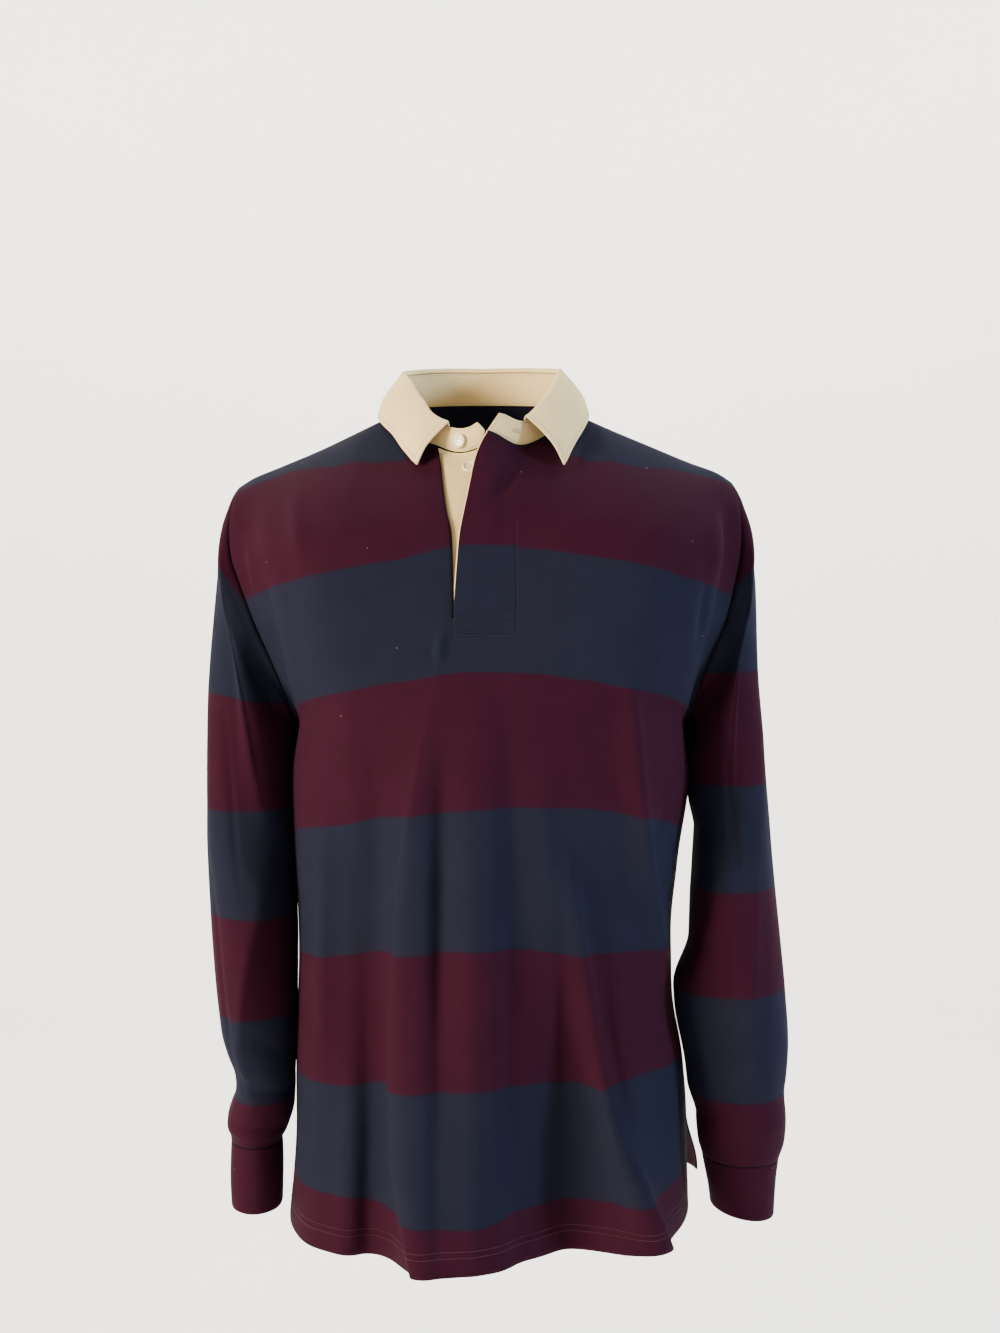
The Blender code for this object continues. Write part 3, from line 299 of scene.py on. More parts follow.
# The leaf's outer edge on the front and back, as places on the panels
LEAF_FRONT = (
    # angle from the front, u_left, t_left, u_right, t_right
    (30.0, 0.195, 0.165, 0.235, 0.198),
    (45.0, 0.248, 0.138, 0.262, 0.181),
    (66.0, 0.306, 0.124, 0.318, 0.140),
    (78.0, 0.338, 0.078, 0.346, 0.095),
    (86.0, 0.358, 0.040, 0.366, 0.060),
)
LEAF_BACK = (
    (98.0, 0.362, 0.035, 0.366, 0.040),
    (120.0, 0.300, 0.085, 0.300, 0.085),
    (150.0, 0.160, 0.120, 0.160, 0.120),
    (180.0, 0.000, 0.130, 0.000, 0.130),
)

# Buttons: x and z of their middles, and half of the profile from the back to the dished face
BUTTON_GAP = 0.0005
BAND_BUTTON = (-0.0261, -0.0320)
PLACKET_BUTTON = (-0.0145, -0.0575)
BUTTON_PROFILE = (
    # radius, height
    (0.0, 0.0),
    (0.0054, 0.0),
    (0.0067, 0.0012),
    (0.0066, 0.0019),
    (0.0062, 0.0024),
    (0.0056, 0.0026),
    (0.0051, 0.0024),
    (0.0046, 0.0018),
    (0.0038, 0.0015),
    (0.0, 0.0015),
)
HOLE_REACH, HOLE_RADIUS = 0.00175, 0.00062

# Fine cells in each of the solids' cells, across and down
ACROSS, DOWN = 5, 8
SLEEVE_DOWN = 9
COLLAR_DOWN = 8
COLLAR_ACROSS = 2

# Where the colour changes down the body: across the panel, then the seven changes as rows
BODY_STRIPES = (
    # u, t of each change
    (-1.00, 0.100, 0.560, 0.944, 1.206, 1.448, 1.690, 1.900),
    (-0.75, 0.125, 0.556, 0.945, 1.208, 1.450, 1.692, 1.900),
    (-0.50, 0.195, 0.551, 0.945, 1.209, 1.455, 1.705, 1.902),
    (-0.34, 0.207, 0.537, 0.934, 1.201, 1.450, 1.699, 1.911),
    (-0.28, 0.198, 0.533, 0.930, 1.199, 1.448, 1.697, 1.914),
    (-0.235, 0.150, 0.527, 0.926, 1.197, 1.446, 1.695, 1.916),
    (-0.18, 0.020, 0.513, 0.919, 1.194, 1.443, 1.694, 1.919),
    (-0.04, 0.001, 0.480, 0.902, 1.187, 1.436, 1.690, 1.924),
    (0.10, 0.001, 0.492, 0.906, 1.184, 1.440, 1.692, 1.912),
    (0.20, 0.010, 0.501, 0.912, 1.184, 1.444, 1.697, 1.912),
    (0.245, 0.120, 0.508, 0.917, 1.184, 1.446, 1.700, 1.912),
    (0.28, 0.204, 0.513, 0.921, 1.184, 1.448, 1.702, 1.912),
    (0.34, 0.212, 0.518, 0.926, 1.185, 1.449, 1.701, 1.912),
    (0.50, 0.208, 0.528, 0.934, 1.190, 1.447, 1.688, 1.912),
    (0.75, 0.148, 0.545, 0.940, 1.197, 1.440, 1.690, 1.908),
    (1.00, 0.100, 0.550, 0.944, 1.200, 1.436, 1.695, 1.914),
)
LAST_STRIPE = 0.2
# Where it changes down each sleeve: height at the outside, and its fall for each metre inwards
SLEEVE_STRIPES = {
    -1: ((-0.127, 1.38), (-0.262, 0.20), (-0.372, 0.02), (-0.472, 0.05), (-0.569, 0.00), (-0.649, 0.04)),
    1: ((-0.129, 1.00), (-0.2415, 0.05), (-0.349, 0.00), (-0.448, 0.03), (-0.547, 0.03), (-0.649, 0.00)),
}

# Finer creases of the front and back, in the same form as the folds
FRONT_CREASES = (
    (-0.215, -0.036, -0.078, -0.775, -0.060, 0.005, 0.020, 0.0012, 0.0030),
    (-0.225, 0.127, 0.139, -0.540, 0.168, 0.012, 0.006, 0.0036, 0.0000),
    (-0.370, 0.068, 0.098, -0.775, 0.160, 0.016, 0.007, 0.0038, 0.0045),
    (-0.250, -0.060, -0.074, -0.775, -0.074, 0.010, 0.010, 0.0013, 0.0006),
    (-0.235, -0.040, -0.043, -0.775, -0.046, 0.012, 0.012, -0.0018, -0.0010),
    (-0.235, -0.014, -0.016, -0.775, -0.014, 0.011, 0.011, 0.0015, 0.0008),
    (-0.235, 0.016, 0.020, -0.775, 0.018, 0.013, 0.013, -0.0016, -0.0008),
    (-0.290, 0.048, 0.055, -0.700, 0.062, 0.012, 0.010, 0.0014, 0.0000),
    (-0.280, -0.098, -0.100, -0.700, -0.104, 0.012, 0.012, -0.0015, -0.0006),
    (-0.250, 0.008, 0.002, -0.700, 0.006, 0.016, 0.016, 0.0018, 0.0010),
    (-0.350, -0.148, -0.152, -0.620, -0.156, 0.008, 0.010, 0.0022, 0.0000),
    (-0.560, -0.122, -0.124, -0.775, -0.128, 0.014, 0.014, 0.0010, 0.0030),
    (-0.600, 0.034, 0.034, -0.775, 0.036, 0.014, 0.014, -0.0010, -0.0030),
    (-0.300, -0.045, -0.040, -0.560, -0.046, 0.012, 0.012, -0.0014, 0.0000),
)
BACK_CREASES = (
    (-0.200, -0.030, -0.024, -0.600, -0.040, 0.012, 0.014, 0.0020, 0.0000),
    (-0.260, 0.050, 0.044, -0.640, 0.056, 0.012, 0.014, 0.0020, 0.0000),
    (-0.420, -0.100, -0.104, -0.775, -0.096, 0.012, 0.010, 0.0015, 0.0035),
    (-0.400, 0.100, 0.108, -0.775, 0.104, 0.012, 0.010, 0.0015, 0.0035),
)
# Creases that fan out from the armholes: start (x, z), end (x, z), width, height
ARMHOLE_CREASES = (
    (-0.2260, -0.105, -0.1960, -0.215, 0.0060, 0.0030),
    (-0.2130, -0.130, -0.1830, -0.255, 0.0050, -0.0022),
    (-0.1780, -0.060, -0.1640, -0.160, 0.0090, 0.0012),
    (0.2120, -0.075, 0.1960, -0.200, 0.0060, 0.0030),
    (0.2040, -0.120, 0.1860, -0.245, 0.0050, -0.0022),
    (0.1500, -0.385, 0.1700, -0.372, 0.0050, -0.0012),
    (0.0345, -0.050, 0.0010, -0.094, 0.0052, -0.0016),
    (-0.0400, -0.196, -0.0440, -0.240, 0.0040, 0.0016),
)
# Unevenness of worn jersey: size across, size down, height
CRUMPLE = ((0.045, 0.120, 0.0009), (0.018, 0.040, 0.00035))
CRUMPLE_FADE = 0.012

# Finer folds along the sleeves, and the ridges that gather above the cuffs
SLEEVE_CREASES = {
    -1: (
        (0.04, 70.0, 0.40, 118.0, 7.0, 0.0022),
        (0.30, 60.0, 0.62, 96.0, 8.0, -0.0018),
        (0.52, 120.0, 0.92, 74.0, 7.0, 0.0020),
        (0.60, 40.0, 0.95, 66.0, 8.0, -0.0018),
        (0.20, 240.0, 0.75, 262.0, 10.0, 0.0020),
    ),
    1: (
        (0.04, 74.0, 0.46, 96.0, 7.0, 0.0026),
        (0.22, 110.0, 0.70, 84.0, 8.0, -0.0020),
        (0.50, 60.0, 0.95, 92.0, 8.0, 0.0020),
        (0.20, 250.0, 0.75, 270.0, 10.0, 0.0020),
    ),
}
# Ridges: middle, half width, angle of the strongest part, spread of angle, height
GATHERS = {
    -1: (
        (0.925, 0.012, 95.0, 70.0, -0.0035),
        (0.955, 0.010, 60.0, 80.0, 0.0020),
        (0.972, 0.006, 110.0, 60.0, -0.0016),
        (0.984, 0.006, 60.0, 80.0, 0.0016),
        (0.850, 0.016, 120.0, 50.0, -0.0018),
    ),
    1: (
        (0.945, 0.014, 60.0, 70.0, -0.0020),
        (0.966, 0.010, 90.0, 80.0, 0.0018),
        (0.982, 0.007, 70.0, 60.0, -0.0014),
        (0.870, 0.018, 110.0, 60.0, -0.0016),
    ),
}

# Seeds of the unevenness
FRONT_SEED, BACK_SEED, SLEEVE_SEED = 11, 23, 37
# Where the collar covers the panels, and how much higher the creases stand than their tables say
COLLAR_COVER = 0.2
CREASE_GAIN = 2.8
# The ridge of the sleeve's seam at the armhole, and rows of the cuffs and of the stand
SEAM_PUFF = 0.0007
CUFF_DOWN = 16
STAND_DOWN = 12
# How often the leaf's edge and the panels below the neck's sides are evened out, by these shares
LEAF_EVENING, LEAF_SHARE = 60, 0.45
NECK_EASING, NECK_SHARE = 60, 0.9
# The leaf's fall is raised by this much after that
LEAF_RAISE = 0.0012
# Where each sleeve lies against the body: depth below the neck, and the share of its way there
TOUCHING = {
    -1: ((0.25, 0.0), (0.29, 1.0), (0.66, 1.0), (0.692, 0.0)),
    1: (
        (0.25, 0.0), (0.29, 1.0), (0.36, 1.0), (0.40, 0.0),
        (0.50, 0.0), (0.55, 1.0), (0.64, 1.0), (0.67, 0.0),
    ),
}
TOUCH_OVERLAP, TOUCH_MOST = 0.0006, 0.015
# The facing: how far it shows past the overlay's free edge, its wall, its lie and its foot
FACING_SHOWN = 0.0009
FACING_WALL = 0.0004
FACING_TUCK = 0.0001
FACING_FOOT = -0.176
# The overlay: how much finer its grid is, its wall, and its stitching from its edges
OVERLAY_FINER = (4, 2)
OVERLAY_WALL = 0.0009
OVERLAY_SEAM = 0.0016
# How far the overlay stands out at its free edge and at its stitched side
OVERLAY_RISE, OVERLAY_LOW = 0.0015, 0.0003
# The stitched box at its foot, how far below its top the upper line and the slant's end are,
# how deep it sinks, and the soft fold above it: height, place and width
BOX_HEIGHT = 0.0190
BOX_LINE, SLANT_DROP = 0.0018, 0.0045
BOX_SINK = 0.0007
BOX_FOLD = (0.0006, 0.003, 0.0022)
# Its edges are pressed down over the last of their width
EDGE_PRESS, EDGE_WIDE = 0.0006, 0.0034
# The line up the stitched side runs out between these heights above the foot
SIDE_LINE = (0.075, 0.105)
# Rows of the hem's stitching above its edge, the stand's stitching from its edges, and the
# first row of the leaf's ends that is stitched
HEM_ROWS = (0.0170, 0.0225)
STAND_STITCH = 0.0022
LEAF_STITCH_TOP = 26
# Middle of the buttonhole in x and z, its length, how far its stitches stand from the slit and
# how many there are on a side; then half sizes of a stitch and of the bar at each end
BUTTONHOLE = (0.0262, -0.0225)
BUTTONHOLE_LENGTH = 0.0090
BUTTONHOLE_REACH = 0.0011
BUTTONHOLE_STITCHES = 19
BUTTONHOLE_STITCH = (0.00026, 0.00085, 0.00030)
BUTTONHOLE_BAR = (0.0005, 0.0019, 0.00032)
# The thread through a button's holes: half sizes, and how far its two strands lie apart
BUTTON_THREAD = (0.0015, 0.00026, 0.00034)
BUTTON_STRANDS = 0.00022
DIAGONAL = 0.7071
# The photograph shows more of the lower button, which sits this much nearer the slit's left edge
BUTTON_SHIFT = 0.0024
# No seam or hem shows at this distance, and this stripe place is plain burgundy
CLEAR = 0.1
PLAIN_STRIPE = 7.0
# Inside this column place the back's stripes run on as they are there, with no dip at the neck
LEVEL_U = 0.34
# The sleeves' outside, how far in their stripes start to fall, and half of the last stripe
SLEEVE_OUTSIDE, SLEEVE_LEVEL, SLEEVE_LAST = 0.27, 0.006, 0.1
# Tones of the shade in the knit and of lint, and the sky's
SHADE_TONE = (0.004, 0.003, 0.005, 1.0)
LINT_TONE = (0.55, 0.53, 0.50, 1.0)
SKY_TONE = (0.95, 0.95, 0.97, 1.0)
# The round stage: radius, the bend between its floor and wall, and the wall's top
STAGE_RADIUS, STAGE_BEND, STAGE_TOP = 4.4, 1.0, 4.0
# The camera, and where the lamps point
CAMERA_PLACE = (0.0106, -1.45, -0.177)
CAMERA_PITCH = 2.5
CAMERA_LENS, CAMERA_SENSOR = 40.5, 36.0
AIM = Vector((0.0, 0.0, -0.35))
CHEST = Vector((0.2, -0.05, -0.3))
WALL_AIM = Vector((0.0, 4.0, -0.6))


def follow(table, column, at):
    """The column of a table at these places of its first column, smooth and with no overshoot."""
    rows = np.array(table, float)
    rows = rows[np.argsort(rows[:, 0])]
    x, y = rows[:, 0], rows[:, column]
    step = np.diff(x)
    rise = np.diff(y) / step
    slope = np.empty(len(x))
    slope[0], slope[-1] = rise[0], rise[-1]
    same = rise[:-1] * rise[1:] > 0
    mean = 2 * rise[:-1] * rise[1:] / np.where(same, rise[:-1] + rise[1:], 1.0)
    slope[1:-1] = np.where(same, mean, 0.0)
    at = np.clip(at, x[0], x[-1])
    i = np.clip(np.searchsorted(x, at, side="right") - 1, 0, len(x) - 2)
    s = (at - x[i]) / step[i]
    one, two = s * s * (3 - 2 * s), s * (1 - s)
    return y[i] * (1 - one) + y[i + 1] * one + step[i] * two * (slope[i] * (1 - s) - slope[i + 1] * s)


def ramp(low, high, at):
    s = np.clip((at - low) / (high - low), 0.0, 1.0)
    return s * s * (3 - 2 * s)


def unit(vectors):
    return vectors / np.maximum(np.linalg.norm(vectors, axis=-1, keepdims=True), 1e-12)


def stack(x, y, z):
    return np.stack(np.broadcast_arrays(x, y, z), axis=-1).astype(float)


def neck_point(u, back):
    """A point of the neck seam, from the middle of the front or back to the shoulder."""
    across = np.clip(np.abs(u) / NECK_U, 0.0, 1.0) ** (1 / NECK_POWER)
    along = np.sqrt(np.maximum(1 - across**2, 0.0))
    side = np.where(u < 0, -1.0, 1.0)
    top = np.where(u < 0, SHOULDER_TOP_Z[-1], SHOULDER_TOP_Z[1])
    low = NECK_BACK_Z if back else NECK_FRONT_Z
    depth = NECK_BACK if back else -NECK_FRONT
    return stack(NECK_X + side * NECK_HALF * across, depth * along, top + (low - top) * along)


def top_point(u, back):
    """A point of the body's top row: the neck seam, then the shoulder seam."""
    f = np.clip((np.abs(u) - NECK_U) / (1 - NECK_U), 0.0, 1.0)
    x = np.where(u < 0, -follow(SHOULDER, 1, f), follow(SHOULDER, 2, f))
    z = np.where(u < 0, follow(SHOULDER, 3, f), follow(SHOULDER, 4, f))
    shoulder = stack(x, np.zeros_like(x), z)
    return np.where((np.abs(u) < NECK_U)[..., None], neck_point(u, back), shoulder)


def section_point(u, t, back):
    """A point of one level section of the body, from the middle, 0, to the edge, 1."""
    s = np.abs(u)
    left = u < 0
    edge_x = np.where(left, -follow(EDGE, 1, t), follow(EDGE, 2, t))
    edge_y = follow(EDGE, 4 if back else 3, t)
    edge_z = np.where(left, follow(EDGE, 5, t), follow(EDGE, 6, t))
    if back:
        edge_x = edge_x * (1 + VENT_FLARE * ramp(VENT_T, 2.0, t) * ~left)
        edge_z = edge_z + BACK_EDGE_UP * ramp(VENT_T - 0.12, 2.0, t)
    middle_y = follow(MIDDLE, 3 if back else 2, t)
    middle_z = follow(MIDDLE, 1, t)
    turn = np.radians(follow(MIDDLE, 4, t))
    corner_y = follow(MIDDLE, 6 if back else 5, t)
    away = edge_x * (1 - CORNER_REACH * np.cos(turn))
    a, b, c, d = (1 - s) ** 3, 3 * (1 - s) ** 2 * s, 3 * (1 - s) * s * s, s**3
    x = b * SECTION_PULL * edge_x + c * away + d * edge_x
    y = (a + b) * middle_y + c * corner_y + d * edge_y
    z = middle_z + (edge_z - middle_z) * s**DROOP_POWER
    return stack(x, y, z)


def body_point(u, t, back=False):
    """A point of the front or back before its folds."""
    u, t = np.broadcast_arrays(np.asarray(u, float), np.asarray(t, float))
    low = section_point(u, np.maximum(t, CHEST_T), back)
    step = 0.02
    chest = np.full_like(t, CHEST_T)
    fall = (section_point(u, chest + step, back) - section_point(u, chest, back)) / step * CHEST_T
    high = top_point(u, back)
    sign = 1.0 if back else -1.0
    shoulder = ramp(0.8 * NECK_U, 1.6 * NECK_U, np.abs(u))
    lean = stack(0.0 * u, sign * (START_OUT + SHOULDER_OUT * shoulder), SHOULDER_UP * shoulder - START_DOWN)
    s = np.clip(t / CHEST_T, 0.0, 1.0)[..., None]
    arc = (
        (2 * s**3 - 3 * s**2 + 1) * high
        + (s**3 - 2 * s**2 + s) * lean
        + (3 * s**2 - 2 * s**3) * section_point(u, chest, back)
        + (s**3 - s**2) * fall
    )
    return np.where((t < CHEST_T)[..., None], arc, low)


def fold_height(folds, x, z):
    """How far the soft folds stand out at this place."""
    total = np.zeros_like(x)
    for z_top, x_top, x_middle, z_low, x_low, wide_left, wide_right, middle, low in folds:
        s = np.clip((z_top - z) / (z_top - z_low), 0.0, 1.0)
        line = (1 - s) * (1 - 2 * s) * x_top + 4 * s * (1 - s) * x_middle + s * (2 * s - 1) * x_low
        size = 4 * s * (1 - s) * middle + s * s * (3 - 2 * s) * low
        size = size * ramp(z_top, z_top - FOLD_FADE, z)
        wide = np.where(x < line, wide_left, wide_right)
        total = total + size * np.exp(-(((x - line) / wide) ** 2))
    return total


def grid_normals(points, ring=False):
    """The outward direction at each point of a grid whose columns run left to right from outside."""
    if ring:
        wide = np.concatenate([points[:, -2:-1], points, points[:, 1:2]], axis=1)
        across = (wide[:, 2:] - wide[:, :-2]) / 2
    else:
        across = np.gradient(points, axis=1)
    return unit(np.cross(across, -np.gradient(points, axis=0)))


def folded(base, folds, u, t):
    """The grid moved out by its folds and in at the valley before each armhole."""
    normals = grid_normals(base)
    x, z = base[..., 0], base[..., 2]
    height = fold_height(folds, x, z)
    valley = np.exp(-(((np.abs(u) - VALLEY_U) / VALLEY_WIDE) ** 2))
    valley = valley * ramp(0.1, 0.4, t) * ramp(1.1, 0.85, t)
    height = height - ARMHOLE_VALLEY * valley
    height = height * ramp(0.0, FOLD_START, t)
    return base + normals * height[..., None]


def u_at(x, t):
    """The column place of the front where it has this x, near the middle."""
    fine = np.linspace(-0.5, 0.5, 201)
    rows = np.unique(t)
    lookup = {row: body_point(fine, row)[..., 0] for row in rows}
    x, t = np.broadcast_arrays(x, t)
    found = [np.interp(value, lookup[row], fine) for value, row in zip(x.ravel(), t.ravel())]
    return np.array(found).reshape(x.shape)


def lifted(points):
    """The points of the open flap, raised and swung out towards the slit's top corner."""
    x, z = points[..., 0], points[..., 2]
    near = ramp(OVERLAY_RIGHT_X + FLAP_HINGE, -0.004, x)
    lift = follow(SLIT, 3, z) * near
    raise_up = FLAP_RAISE * near**1.3 * ramp(FLAP_LOW_Z, NECK_FRONT_Z + 0.006, z)
    return points + stack(0.0 * x, -lift, raise_up)


def neck_places(angles):
    """Column places whose neck points stand at these angles from the middle."""
    return NECK_U * np.sin(np.radians(np.array(angles))) ** NECK_POWER


def shoulder_places():
    """Column places along the shoulder seam."""
    f = np.linspace(0.0, 1.0, SHOULDER_COLUMNS * ACROSS + 1)[1:]
    return NECK_U + (1 - NECK_U) * f


def body_rows():
    """The rows of both panels; two of them lie on the slit's tip and the placket's foot."""
    rows = np.concatenate(
        [np.linspace(0, 1, ARMHOLE_ROWS + 1), 1 + np.linspace(0, 1, SIDE_ROWS + 1)[1:]]
    )
    fine = np.linspace(CHEST_T, 1.0, 400)
    height = follow(MIDDLE, 1, fine)
    for z in (SLIT_TIP_Z, OVERLAY_FOOT_Z):
        t = np.interp(-z, -height, fine)
        rows[np.abs(rows - t).argmin()] = t
    return rows


def slit_edges(t):
    """The x of the front's two edges at the slit on each row, and the rows where it is open."""
    height = body_point(np.full(len(t), SLIT_U), t)[:, 2]
    open_here = height > SLIT_TIP_Z - 0.001
    right = np.where(open_here, follow(SLIT, 2, height) + OVERLAY_LAP, SLIT_X + CLOSED_CELL)
    return follow(SLIT, 1, height), right, open_here


def tube_point(table, side, angle, w):
    """A point of a sleeve or cuff; angle is 0 at the outside and a quarter turn at the front."""
    outer_x, outer_z = follow(table, 1, w), follow(table, 2, w)
    inner_x, inner_z = follow(table, 3, w), follow(table, 4, w)
    share = (1 - np.cos(angle)) / 2
    x = side * (outer_x + (inner_x - outer_x) * share)
    z = outer_z + (inner_z - outer_z) * share
    y = follow(table, 5, w) - follow(table, 6, w) * np.sin(angle)
    return stack(x, y, z)


def sleeve_folds(angle, w, table):
    """How far a sleeve's soft folds stand out at this place."""
    total = np.zeros_like(w)
    degrees = np.degrees(angle)
    for w_top, at_top, w_low, at_low, wide, height in table:
        s = np.clip((w - w_top) / (w_low - w_top), 0.0, 1.0)
        away = (degrees - (at_top + (at_low - at_top) * s) + 180.0) % 360.0 - 180.0
        total = total + 4 * s * (1 - s) * height * np.exp(-((away / wide) ** 2))
    return total


def walls(points, thickness, ring=False, outward=1.0):
    """How far in, and in which direction, a wall's inner points lie."""
    return -outward * thickness * grid_normals(points, ring)


def neck_outward(points):
    """The level direction away from the collar's middle, and its angle from the front."""
    flat = (points - (NECK_X, 0.0, 0.0)) * (1.0, 1.0, 0.0)
    return unit(flat), np.degrees(np.arctan2(np.abs(flat[..., 0]), -flat[..., 1]))


def leaf_edge(angle, side):
    """The leaf's outer edge where it lies over the shoulder, front or back."""
    left = side < 0
    ends = []
    for table, back in ((LEAF_FRONT, False), (LEAF_BACK, True)):
        u = np.where(left, follow(table, 1, angle), follow(table, 3, angle))
        t = np.where(left, follow(table, 2, angle), follow(table, 4, angle))
        ends.append(body_point(side * u, t, back))
    share = ramp(82.0, 98.0, angle)[..., None]
    return ends[0] * (1 - share) + ends[1] * share


def finer(values, parts):
    """The values with even steps between each two."""
    values = np.asarray(values, float)
    at = np.linspace(0.0, len(values) - 1.0, (len(values) - 1) * parts + 1)
    return np.interp(at, np.arange(len(values)), values)


def smooth(points, down, across):
    """The grid with smooth steps between its lines, which stay where they are."""
    for axis, parts in ((0, down), (1, across)):
        count = points.shape[axis]
        at = np.linspace(0.0, count - 1.0, (count - 1) * parts + 1)
        line = np.minimum(at.astype(int), count - 2)
        s = (at - line).reshape([-1 if k == axis else 1 for k in range(3)])
        p = [points.take(np.clip(line + k, 0, count - 1), axis) for k in (-1, 0, 1, 2)]
        p[0] = np.where((line == 0).reshape(s.shape), 2 * p[1] - p[2], p[0])
        p[3] = np.where((line == count - 2).reshape(s.shape), 2 * p[2] - p[1], p[3])
        a = 2 * p[1] + (p[2] - p[0]) * s
        b = (2 * p[0] - 5 * p[1] + 4 * p[2] - p[3]) * s**2
        c = (3 * p[1] - p[0] - 3 * p[2] + p[3]) * s**3
        points = (a + b + c) / 2
    return points


def run(points, axis):
    """The length of cloth from the first line of the grid along this axis."""
    step = np.linalg.norm(np.diff(points, axis=axis), axis=-1)
    first = np.zeros_like(step.take([0], axis))
    return np.cumsum(np.concatenate([first, step], axis=axis), axis=axis)


def to_sides(points, axis):
    """The length of cloth from each point to the nearer end of its line."""
    length = run(points, axis)
    return np.minimum(length, length.take([-1], axis) - length)


def side_distance(points):
    """The length of cloth from each point to the nearest of the grid's four sides."""
    return np.minimum(to_sides(points, 1), to_sides(points, 0))


def drift(x, y, seed):
    """Smooth unevenness between -1 and 1, the same on each run."""
    lattice = np.random.default_rng(seed).uniform(-1.0, 1.0, (64, 64))
    i, j = np.floor(x).astype(int), np.floor(y).astype(int)
    fx, fy = x - i, y - j
    fx, fy = fx * fx * (3 - 2 * fx), fy * fy * (3 - 2 * fy)
    near = lattice[i % 64, j % 64] * (1 - fx) + lattice[(i + 1) % 64, j % 64] * fx
    far = lattice[i % 64, (j + 1) % 64] * (1 - fx) + lattice[(i + 1) % 64, (j + 1) % 64] * fx
    return near * (1 - fy) + far * fy


def line_creases(table, x, z):
    """Creases that run straight from one place to another, softer towards their ends."""
    total = np.zeros_like(x)
    for x_top, z_top, x_low, z_low, wide, height in table:
        along = np.array([x_low - x_top, z_low - z_top])
        length = np.hypot(*along)
        along = along / length
        s = ((x - x_top) * along[0] + (z - z_top) * along[1]) / length
        away = (x - x_top) * along[1] - (z - z_top) * along[0]
        size = np.sin(math.pi * np.clip(s, 0.0, 1.0)) ** 2
        total = total + height * size * np.exp(-((away / wide) ** 2))
    return total


def crumpled(points, u, t, creases, seed):
    """The panel with its finer creases and the unevenness of worn cloth, flat at its edges."""
    x, z = points[..., 0], points[..., 2]
    folds = fold_height(creases, x, z) + line_creases(ARMHOLE_CREASES, x, z) * (seed == FRONT_SEED)
    height = np.zeros(x.shape)
    for index, (wide, long, rise) in enumerate(CRUMPLE):
        height = height + rise * drift(x / wide + 31.0, z / long + 17.0, seed + index)
    edge = np.minimum(to_sides(points, 1), run(points, 0))
    covered = COLLAR_COVER * ramp(0.55, 0.38, np.abs(u))
    height = height * ramp(covered, covered + 0.08, t) + CREASE_GAIN * folds * ramp(0.02, 0.08, t)
    height = height * ramp(0.0, CRUMPLE_FADE, edge)
    return points + grid_normals(points) * height[..., None]


def counted(total, at, changes):
    """The total with one added for each stripe between two changes that this place has passed."""
    for above, below in zip(changes, changes[1:]):
        total = total + np.clip((at - above) / (below - above), 0.0, 1.0)
    return total


def stripe_places(u, t):
    """The body's stripes: 0 in the yoke, and half a step past each whole number at a change."""
    changes = [follow(BODY_STRIPES, k, u) for k in range(1, 8)]
    total = counted(0.5 * np.minimum(t / changes[0], 1.0), t, changes)
    return total + np.clip((t - changes[-1]) / LAST_STRIPE, 0.0, 0.5)


def sleeve_stripe_places(side, x, z):
    """A sleeve's stripes, counted as the body's are; they run level round the arm."""
    inwards = np.maximum(SLEEVE_OUTSIDE - np.abs(x) - SLEEVE_LEVEL, 0.0)
    changes = [height - fall * inwards for height, fall in SLEEVE_STRIPES[side]]
    total = counted(1.0 + 0.5 * np.clip(z / changes[0], 0.0, 1.0), z, changes)
    return total + np.clip((changes[-1] - z) / SLEEVE_LAST, 0.0, 0.5)


def fine_rows():
    return finer(body_rows(), DOWN)


def eased(points, u, t, held=None):
    """The panel without the hard line below the neck's side, where two of its forms meet."""
    near = ramp(0.17, 0.06, np.abs(np.abs(u) - NECK_U)) * ramp(0.02, 0.10, t)
    if held is not None:
        near = near * ramp(4.0, 20.0, np.abs(np.arange(u.shape[1]) - held))
    points = points.copy()
    for _ in range(NECK_EASING):
        step = (points[:, :-2] + points[:, 2:]) / 2 - points[:, 1:-1]
        points[:, 1:-1] += step * (NECK_SHARE * near[:, 1:-1])[..., None]
    return points


def fine_front(t):
    """The front's fine points, its places u and t, the column left of the slit, and its open rows."""
    left_x, right_x, open_here = slit_edges(t)
    u_left, u_right = u_at(left_x, t), u_at(right_x, t)
    u_stitch = u_at(np.full(len(t), OVERLAY_RIGHT_X), t)
    shoulder = shoulder_places()
    left_fixed = finer(neck_places(LEFT_ANGLES), ACROSS)
    right_fixed = finer(neck_places(RIGHT_ANGLES), ACROSS)
    u_rows = []
    for a, b, c in zip(u_left, u_right, u_stitch):
        share = (left_fixed - left_fixed[0]) / (left_fixed[-1] - left_fixed[0])
        left = a - share * (NECK_U + a)
        share = (right_fixed - right_fixed[0]) / (right_fixed[-1] - right_fixed[0])
        lapped = np.linspace(b, c, STITCH_CELLS * ACROSS + 1)[:-1]
        right = np.concatenate([lapped, c + share * (NECK_U - c)])
        u_rows.append(np.concatenate([-shoulder[::-1], left[::-1], right, shoulder]))
    u = np.array(u_rows)
    tt = np.broadcast_to(t[:, None], u.shape)
    slit = (SHOULDER_COLUMNS + len(LEFT_ANGLES) - 1) * ACROSS
    points = eased(folded(body_point(u, tt), FRONT_FOLDS, u, tt), u, tt, held=slit)
    points = crumpled(points, u, tt, FRONT_CREASES, FRONT_SEED)
    flap = np.arange(u.shape[1]) > slit
    points = np.where(flap[None, :, None], lifted(points), points)
    return points, u, tt, slit, open_here


